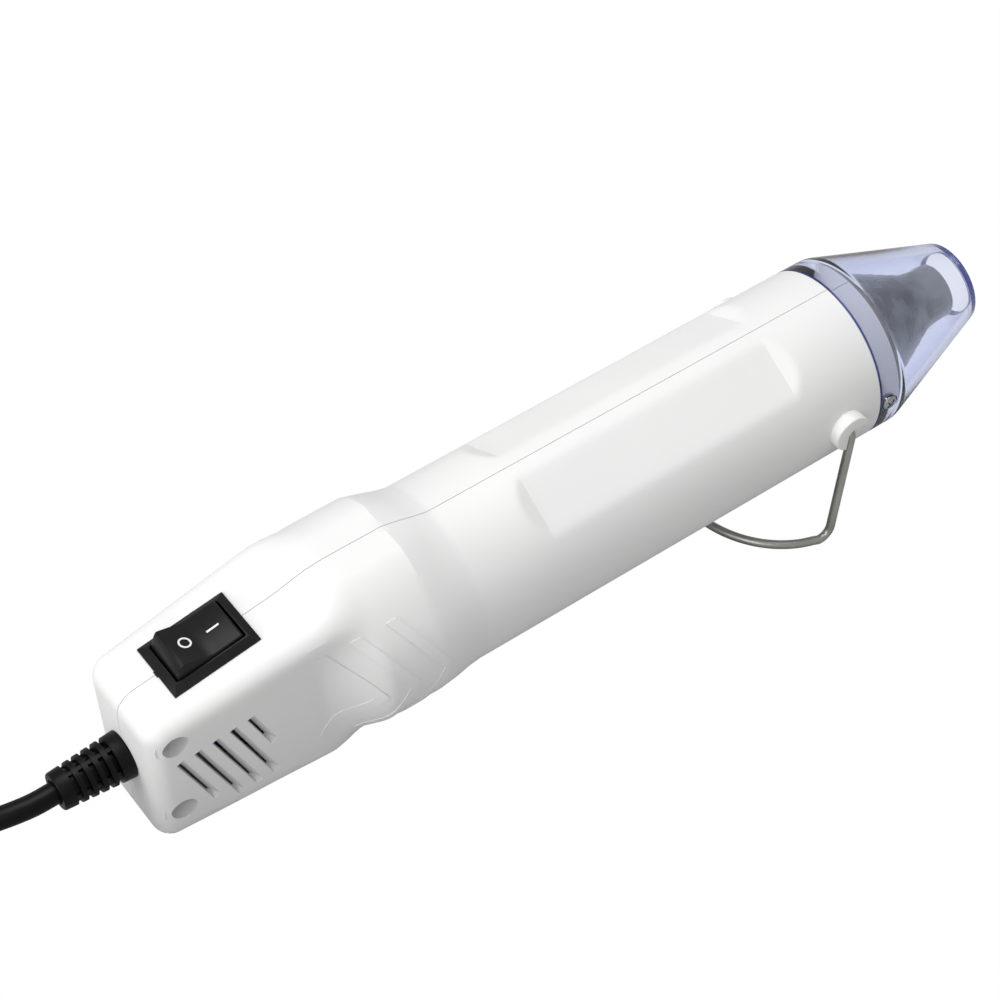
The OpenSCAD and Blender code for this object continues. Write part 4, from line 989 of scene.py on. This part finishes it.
# %% Switch body
switch = bmesh.new()
block(switch, (-BEZEL_L / 2, -BEZEL_W / 2, 0), (BEZEL_L / 2, BEZEL_W / 2, BEZEL_FOOT))
top = max(switch.faces, key=lambda face: face.calc_center_median().z)
risen = bmesh.ops.extrude_face_region(switch, geom=[top])["geom"]
bmesh.ops.delete(switch, geom=[top], context="FACES_ONLY")
lid = [part for part in risen if isinstance(part, bmesh.types.BMVert)]
bmesh.ops.translate(switch, verts=lid, vec=(0, 0, BEZEL_H - BEZEL_FOOT))
bmesh.ops.scale(switch, verts=lid, vec=(1 - 2 * BEZEL_SLOPE / BEZEL_L, 1 - 2 * BEZEL_SLOPE / BEZEL_W, 1))
soften(switch, [e for e in switch.edges if max(v.co.z for v in e.verts) > BEZEL_FOOT + 0.01], 0.12)
core = bmesh.new()
block(core, (-SWITCH_L / 2, -SWITCH_W / 2, -SWITCH_D), (SWITCH_L / 2, SWITCH_W / 2, 0.2))
block(core, (-BEZEL_L / 2 - 0.25, -0.9, -0.5), (-9, 0.7, 0.3))
switch = boolean(switch, core, "UNION")
well = bmesh.new()
block(well, (-HOLE_L / 2, -HOLE_W / 2, -WELL_DEPTH), (HOLE_L / 2, HOLE_W / 2, 4))
soften(well, [e for e in well.edges if abs(e.verts[0].co.z - e.verts[1].co.z) > 5], 0.4)
cylinder_across(well, 0, PIVOT_Z, TRUNNION_R + 0.05, -TRUNNION_REACH, TRUNNION_REACH)
for x in (0, -6):
    block(well, (x - TERMINAL_HALF_T, -TERMINAL_HALF_W, -SWITCH_D - 1),
          (x + TERMINAL_HALF_T, TERMINAL_HALF_W, -SWITCH_D + 2))
switch = boolean(switch, well, "DIFFERENCE")
finish_mesh(switch, "switch_frame", black_nylon, "casing", ("switch_body",), sharp=25,
            matrix=TOOL @ AT_SWITCH)

# %% [markdown]
# The rocker has two flat faces that meet in a shallow dip, and round ends that turn about its pivot,
# so the gap to the bezel stays the same at both positions. It is one outline, pushed out sideways,
# with the pivot's pins and the blunt foot that tips the contact bridge joined to it.

# %% Rocker
DIP_Z, FACE_ANGLE, ROCKER_TILT = 3.0, math.radians(13), math.radians(11)
AT_ROCKER = AT_SWITCH @ Matrix.Translation((0, 0, PIVOT_Z)) @ Matrix.Rotation(ROCKER_TILT, 4, "Y")

corner = next(x / 100 for x in range(600, 830)
              if math.hypot(x / 100, DIP_Z + x / 100 * math.tan(FACE_ANGLE)) >= ROCKER_ENDS)
corner_z = DIP_Z + corner * math.tan(FACE_ANGLE)
low_x = math.sqrt(ROCKER_ENDS ** 2 - 1.2 ** 2)
arc = [(math.sqrt(ROCKER_ENDS ** 2 - z ** 2), z) for z in (3.6, 2.4, 1.2, 0.0)]
outline = ([(-corner, corner_z), (0, DIP_Z), (corner, corner_z)] + arc + [(low_x, -1.2), (2.2, -2.8)]
           + [(-2.2, -2.8), (-low_x, -1.2)] + [(-x, z) for x, z in reversed(arc)])
radii = [0.35, 1.8, 0.35] + [0] * (len(outline) - 3)
rocker = slab(rounded(outline, radii, 4), -ROCKER_HALF_W, ROCKER_HALF_W)
flanks = [e for e in rocker.edges if abs(e.verts[0].co.y - e.verts[1].co.y) < 0.01]
soften(rocker, [e for e in flanks if min(v.co.z for v in e.verts) > -1], 0.3, 2)
pins = bmesh.new()
cylinder_across(pins, 0, 0, TRUNNION_R, -TRUNNION_REACH, TRUNNION_REACH, 24)
bmesh.ops.create_cone(pins, cap_ends=True, radius1=0.7, radius2=1.0, depth=4.9, segments=24,
                      matrix=Matrix.Translation((0, 0, -4.45)))
rocker = boolean(rocker, pins, "UNION")
finish_mesh(rocker, "switch_button", black_nylon, "rocker", ("switch_rocker",), sharp=25,
            matrix=TOOL @ AT_ROCKER)

# %% [markdown]
# ## Wire stand
# Spring steel wire, drawn and left grey. Drawing leaves fine marks along the wire, which stretch its
# highlight, so the noise under its gloss is stretched too.

# %% Drawn spring steel
wire_grey, tree, shader = start_material("drawn_spring_steel", "#B9B8B3", 0.34, Metallic=1.0)
rough_from(tree, shader, grains(tree, 0.8, stretch=(1, 1, 0.2)), 0.28, 0.42)
tint_from(tree, shader, grains(tree, 6), "#AAA9A4", "#C2C1BC")
print("made", wire_grey.name)

# %% [markdown]
# The stand is one wire, bent in a few places. One smooth path runs from pin to pin: out of the boss,
# down the leg, round the bend and along the half-round foot. Straight cylinders would leave creases
# at the bends, so a curve's bevel makes the tube along the whole path.

# %% Measures of the stand
LEG_LEN, FOOT_BEND, FOOT_ANGLE = 33.6, 3.0, math.radians(92)
foot_lead = FOOT_BEND * math.tan(FOOT_ANGLE / 2)
foot_from = math.pi / 2 - math.asin(foot_lead / LEG_Y)
print("legs", LEG_LEN, "mm long,", 2 * LEG_Y, "mm apart")


# %% The stand's path
def leg_points():
    """The pin, its bend and the leg down to the foot, on the left."""
    bend = 1.3
    points = [(0, 17.6, 0)]
    for k in range(7):
        a = math.pi / 2 * k / 6
        points.append((0, LEG_Y - bend + bend * math.sin(a), -bend + bend * math.cos(a)))
    for k in range(11):
        a = FOOT_ANGLE * k / 10
        points.append((FOOT_BEND * (math.cos(a) - 1), LEG_Y, foot_lead - LEG_LEN - FOOT_BEND * math.sin(a)))
    return points


foot = []
for k in range(1, 48):
    a = foot_from * (1 - k / 24)
    forward = LEG_Y * math.cos(a)
    foot.append((-forward * math.sin(FOOT_ANGLE), LEG_Y * math.sin(a),
                 -LEG_LEN - forward * math.cos(FOOT_ANGLE)))
left_leg = leg_points()
wire_path = left_leg + foot + [(x, -y, z) for x, y, z in reversed(left_leg)]
print("wire path has", len(wire_path), "points")

# %% The stand
AT_BOSS = Matrix.Translation((BOSS_X, 0, BOSS_Z)) @ Matrix.Rotation(math.radians(OPEN_LEAN), 4, "Y")
finish_mesh(tube(wire_path, WIRE_R, 5), "bent_wire_stand", wire_grey, "stand", ("wire_stand",),
            sharp=40, matrix=TOOL @ AT_BOSS)

# %% [markdown]
# ## Strain relief and plug
# The strain relief is a tapered PVC sleeve with five grooves, each crossed by four small webs, so
# that it bends little by little. It could be five discs on a core, but the webs matter to the eye:
# it is turned in one, and the grooves are rings cut short by two crossed plates.

# %% Strain relief
RELIEF_R, RELIEF_TAIL_R, RELIEF_LEN, GROOVES = 5.5, 4.3, 16.5, 5

FLANGE_R, NECK_R, FLANGE_FROM, FLANGE_TO = 6.2, 4.6, 2.3, 3.8
tail_x = REAR_X - RELIEF_LEN
section = [(REAR_X - 0.03, RELIEF_R), (tail_x, RELIEF_TAIL_R), (tail_x, CORD_R + 0.35),
           (tail_x + 2, CORD_R + 0.05), (REAR_X + FLANGE_TO, CORD_R + 0.05), (REAR_X + FLANGE_TO, FLANGE_R),
           (REAR_X + FLANGE_FROM, FLANGE_R), (REAR_X + FLANGE_FROM, NECK_R), (REAR_X - 0.03, NECK_R)]
relief = turned(rounded(section, [0.35, 0.5, 0.2, 0, 0, 0.2, 0, 0, 0], 3), 72)
groove_step = (RELIEF_LEN - 5) / GROOVES
floor_r = RELIEF_TAIL_R - 0.9
grooves = bmesh.new()
for k in range(GROOVES):
    x = REAR_X - 4.4 - k * groove_step
    join(grooves, turned([(x, 8), (x + 1.4, 8), (x + 1.25, floor_r), (x + 0.15, floor_r)], 72))
plates = bmesh.new()
for angle in (6, 96):
    block(plates, (REAR_X - 20, -0.45, -10), (REAR_X, 0.45, 10), Matrix.Rotation(math.radians(angle), 4, "X"))
# The webs stay a little below the sleeve's skin
taper_within = turned([(REAR_X - 18, RELIEF_TAIL_R - 0.35), (REAR_X, RELIEF_R - 0.45), (REAR_X, 0.5),
                       (REAR_X - 18, 0.5)], 48)
plates = boolean(plates, taper_within, "INTERSECT")
grooves = boolean(grooves, plates, "DIFFERENCE")
relief = boolean(relief, grooves, "DIFFERENCE")
finish_mesh(relief, "webbed_strain_relief", cord_black, "casing", ("strain_relief",), sharp=28,
            matrix=TOOL @ Matrix.Translation((0, 0, CORD_DROP)))

# %% [markdown]
# The plug is the flat two-pin kind, moulded on the cord in the same PVC. It is a flat outline with
# round corners, pushed up to its thickness. Two wedges thin it towards the cord, its edges are
# bevelled for a soft moulded look, and a tapered sleeve leads into the cord.

# %% Plug
TAPER_RUN, TAPER_DROP = 12, 1.6
half = PLUG_W / 2
outline = [(3 - half, 0), (half - 3, 0), (half, 4), (half, PLUG_L / 2), (9, PLUG_L), (-9, PLUG_L),
           (-half, PLUG_L / 2), (-half, 4)]
plug = slab(rounded(outline, [1.2, 1.2, 2, 5, 3, 3, 5, 2], 4), 0.03, PLUG_H - 0.03)
plug.transform(Matrix(((1, 0, 0, 0), (0, 0, 1, 0), (0, 1, 0, 0), (0, 0, 0, 1))))
bmesh.ops.recalc_face_normals(plug, faces=plug.faces)
taper_off = bmesh.new()
for sign, z in ((1, PLUG_H), (-1, 0)):
    tilt = math.atan(TAPER_DROP / TAPER_RUN) * sign
    block(taper_off, (-30, 0, 0 if sign > 0 else -6), (30, 20, 6 if sign > 0 else 0),
          Matrix.Translation((0, PLUG_L - TAPER_RUN, z)) @ Matrix.Rotation(-tilt, 4, "X"))
plug = boolean(plug, taper_off, "DIFFERENCE")
moulded_edges = [e for e in plug.edges if len(e.link_faces) == 2 and e.calc_face_angle() > math.radians(50)]
soften(plug, moulded_edges, 0.9, 3)
sleeve = bmesh.new()
bmesh.ops.create_cone(sleeve, cap_ends=True, radius1=5.0, radius2=4.0, depth=PLUG_SLEEVE + 1, segments=48,
                      matrix=Matrix.Translation((0, PLUG_L + PLUG_SLEEVE / 2 - 0.5, PLUG_H / 2))
                      @ Matrix.Rotation(-math.pi / 2, 4, "X"))
plug = boolean(plug, sleeve, "UNION")
plug_piece = finish_mesh(plug, "two_pin_plug", cord_black, "casing", ("plug_body",), sharp=30,
                         matrix=Matrix.Scale(MM, 4) @ AT_PLUG)

# %% [markdown]
# The pins are turned brass with round tips, plated with nickel. Nickel is a warm, bright grey, and
# sockets leave it a little scuffed, so its gloss wanders.

# %% Plug pins
PIN_R, PIN_L, PIN_APART = 2.0, 19, 18.6
nickel, tree, shader = start_material("nickel_plated_brass", "#C9CACC", 0.2, Metallic=1.0)
rough_from(tree, shader, grains(tree, 2), 0.15, 0.28)
tip_x = PIN_L - 2
tip = [(tip_x + PIN_R * math.sin(a), PIN_R * math.cos(a))
       for a in (math.radians(15 * k) for k in range(1, 6))]
pin_section = [(0, 0), (0, PIN_R), (tip_x, PIN_R)] + tip + [(PIN_L, 0)]
plug_pins = bmesh.new()
for side in (-1, 1):
    join(plug_pins, turned(pin_section, 32),
         Matrix.Translation((side * PIN_APART / 2, 0, PLUG_H / 2)) @ Matrix.Rotation(-math.pi / 2, 4, "Z"))
pins_piece = finish_mesh(plug_pins, "round_plug_pins", nickel, "casing", ("plug_pins",),
                         sharp=30, matrix=Matrix.Scale(MM, 4) @ AT_PLUG)

# %% [markdown]
# ## Heating wire
# The element is resistance wire, coiled fine like a spring and then wound round the mica cross. The
# fine coil follows the same helix as the plain tube in the CAD model. A bump could hint at the fine
# turns, but close by the wire has to be wire, so the path itself is a helix on a helix.

# %% Heating element
WINDING_R, WINDING_TURNS, WINDING_LEN, WINDING_REAR = 12.6, 11, 58.0, -78.0
# Heat leaves a dull brown-grey oxide, darker in places, and takes the metal's shine away
oxidised, tree, shader = start_material("oxidised_resistance_wire", "#6B635C", 0.5, Metallic=1.0)
tint_from(tree, shader, grains(tree, 4), "#57504A", "#7C736B")
fine_turns, fine_steps, fine_r, wire_half = 560, 8, 0.58, 0.2
winding_from = math.pi + math.asin(3.2 / WINDING_R)
winding = []
for i in range(fine_turns * fine_steps + 1):
    t = i / (fine_turns * fine_steps)
    a, b = winding_from + t * WINDING_TURNS * math.tau, i / fine_steps * math.tau
    reach = WINDING_R + fine_r * math.cos(b)
    x = WINDING_REAR + WINDING_LEN * t + fine_r * math.sin(b)
    winding.append((x, reach * math.sin(a), reach * math.cos(a)))
finish_mesh(tube(winding, wire_half, 0), "coiled_heating_wire", oxidised, "casing",
            ("heating_coil",), sharp=60)

# %% [markdown]
# ## Inner pieces
# The pieces inside keep their CAD meshes, because turned, cut and flat shapes are right as they are.
# Each gets the finish of the real one. They could share one grey, but who takes the tool apart tells
# the pieces by their stuff: tan mica, dull steel, copper, green board.


# %% Dressing the inner pieces
def dress(node_names, material):
    """Gives CAD pieces a material, and leaves their meshes as they are."""
    for name in node_names:
        data = nodes[name].data
        data.materials.clear()
        data.materials.append(material)
    print("dressed", ", ".join(node_names), "in", material.name)


def finish_of(name, dark, light, roughness, patch_mm, metallic=0.0):
    """A finish whose colour and roughness drift a little over patches of patch_mm."""
    material, tree, shader = start_material(name, light, roughness, Metallic=metallic)
    patches = grains(tree, patch_mm, detail=3)
    tint_from(tree, shader, patches, dark, light)
    rough_from(tree, shader, patches, roughness * 0.85, min(1.0, roughness * 1.15))
    return material


# %% Finishes round the heater
# Mica is pressed from flakes, which leave it tan with paler clouds and a silky gloss
dress(["mica_liner", "mica_cross"], finish_of("pressed_mica_sheet", "#B49F6C", "#CDBB8C", 0.45, 1.5))
# Under the nozzle the heat has burnt the same sheet grey
dress(["mica_washer"], finish_of("scorched_mica_sheet", "#6F6B63", "#8A867C", 0.5, 1.5))
# Rolled sheet has broad, soft changes of tone along its sweep
dress(["heater_tube"], finish_of("rolled_steel_tube", "#7E7F82", "#94959A", 0.35, 6, 1.0))
# Glaze is smooth and nearly even, a warm white
dress(["thermal_fuse"], finish_of("glazed_ceramic", "#E6E3D9", "#F0EEE7", 0.3, 2))

# %% Finishes of the motor and the fan
# Zinc plating on a drawn can is bright with faint clouds
dress(["motor_can"], finish_of("zinc_plated_motor_steel", "#929397", "#A5A6AA", 0.32, 5, 1.0))
# A ground shaft is the smoothest and brightest metal here
dress(["motor_shaft"], finish_of("ground_shaft_steel", "#A3A4A7", "#B2B3B6", 0.22, 3, 1.0))
# Glass fibres in nylon come up as a dull, slightly paler marbling
dress(["motor_cap"], finish_of("glass_filled_black_nylon", "#232326", "#2E2E31", 0.5, 2))
dress(["fan"], finish_of("moulded_fan_nylon", "#1F2022", "#292A2D", 0.45, 3))
# Sintered ferrite is matt and a little grainy, like slate
dress(["motor_magnets"], finish_of("sintered_ferrite", "#343437", "#424246", 0.6, 1))
# Foam rubber swallows light, so it stays dark from every side
dress(["motor_sleeve"], finish_of("black_foam_rubber", "#161616", "#1E1E1E", 0.8, 0.8))
# Enamel over copper glows orange-brown, with fine changes from wire to wire
dress(["motor_armature"], finish_of("enamelled_copper_winding", "#9C5A2E", "#C07C49", 0.35, 0.6, 0.8))

# %% Finishes of the board, the switch's metal and the leads
# Solder mask is a deep green with a low sheen
dress(["rectifier_board"], finish_of("green_circuit_board", "#27593A", "#33704B", 0.5, 2))
dress(["diodes"], finish_of("moulded_black_epoxy", "#151516", "#1F1F21", 0.5, 1))
# Tin over brass leaves a pale gold, bare contact copper is redder
dress(["switch_terminals"], finish_of("tinned_brass", "#B89B58", "#CDB373", 0.3, 2, 1.0))
dress(["switch_contact"], finish_of("rolled_contact_copper", "#AD6E3F", "#C28A59", 0.3, 2, 1.0))
# The two marks are printed by a pad: flat white, a little thin in places
dress(["switch_marks"], finish_of("white_pad_print", "#E4E4E4", "#F0F0F0", 0.55, 0.6))
# Pressed fibre is brown card, matt and speckled
dress(["cord_clamp"], finish_of("pressed_fibre_board", "#A8997A", "#C0B192", 0.7, 1))
# Silicone insulation has a soft sheen that shifts along the lead
dress(["heater_leads"], finish_of("blue_silicone_insulation", "#274682", "#34559A", 0.45, 4))
dress(["switch_leads"], finish_of("brown_silicone_insulation", "#4B2F21", "#5F3D2C", 0.45, 4))
dress(["cord_tail"], cord_black)

# %% [markdown]
# ## Light and ground
# A plain pale floor lies under the tool. It and the world show white to the camera and through the
# clear guard, and give less light to everything else. More lamps could make the floor white too, but
# they would bleach the white casing with it.


# %% Floor and backdrop
def seen_directly(tree):
    """1 where a ray comes from the camera or through clear plastic."""
    path = add_node(tree, "ShaderNodeLightPath")
    rays = {0: path.outputs["Is Camera Ray"], 1: path.outputs["Is Transmission Ray"]}
    return add_node(tree, "ShaderNodeMath", rays, operation="MAXIMUM").outputs[0]


floor_white, tree, shader = start_material("studio_paper", "#B9B9B9", 0.9, Specular_IOR_Level=0.1)
glow = add_node(tree, "ShaderNodeEmission", values={"Color": (1, 1, 1, 1), "Strength": 1.02})
# A trace of the paper itself stays in view, with the tool's faint shadow on it
share = add_node(tree, "ShaderNodeMath", {0: seen_directly(tree)}, {1: 0.98}, operation="MULTIPLY")
mix = add_node(tree, "ShaderNodeMixShader",
               links={0: share.outputs[0], 1: shader.outputs[0], 2: glow.outputs[0]})
tree.links.new(mix.outputs[0], tree.nodes["Material Output"].inputs["Surface"])

ground = bmesh.new()
bmesh.ops.create_grid(ground, x_segments=1, y_segments=1, size=3.0)
floor_mesh = bpy.data.meshes.new("studio_floor")
ground.to_mesh(floor_mesh)
ground.free()
floor_mesh.materials.append(floor_white)
floor = bpy.data.objects.new("studio_floor", floor_mesh)
bpy.context.scene.collection.objects.link(floor)
print("made the floor")

# %% The air
world = bpy.data.worlds.new("studio_air")
bpy.context.scene.world = world
world.use_nodes = True
tree = world.node_tree
background = tree.nodes["Background"]
background.inputs["Color"].default_value = (1, 1, 1, 1)
strength = add_node(tree, "ShaderNodeMapRange", links={"Value": seen_directly(tree)},
                    values={"To Min": 0.45, "To Max": 1.0})
tree.links.new(strength.outputs["Result"], background.inputs["Strength"])
print("made the air")

# %% [markdown]
# A large lamp overhead lights the top faces, and leaves the sides in a calm grey. A weak one in front
# of the right side and one behind the tool lift the flank and the rear face to the tones that they
# have in a studio. Small lamps would draw hard edges on the matt casing, so all three are wide.


# %% Lamps
def soft_lamp(name, at, target, size, power):
    """A square lamp that faces target."""
    data = bpy.data.lights.new(name, "AREA")
    data.shape = "SQUARE"
    data.size = size
    data.energy = power
    lamp = bpy.data.objects.new(name, data)
    lamp.location = at
    lamp.rotation_euler = (Vector(target) - Vector(at)).to_track_quat("-Z", "Y").to_euler()
    bpy.context.scene.collection.objects.link(lamp)
    return lamp


soft_lamp("overhead_lamp", (0.0, 0.2, 1.1), (0, 0, 0), 0.7, 7.0)
soft_lamp("front_lamp", (-0.7, -0.6, 0.7), (0, 0, 0.02), 0.6, 2.0)
soft_lamp("rear_lamp", (-1.1, 0.1, 0.35), (-0.1, 0, 0.04), 0.5, 6.0)
bpy.context.scene.view_settings.view_transform = "Standard"
print("made the lamps")
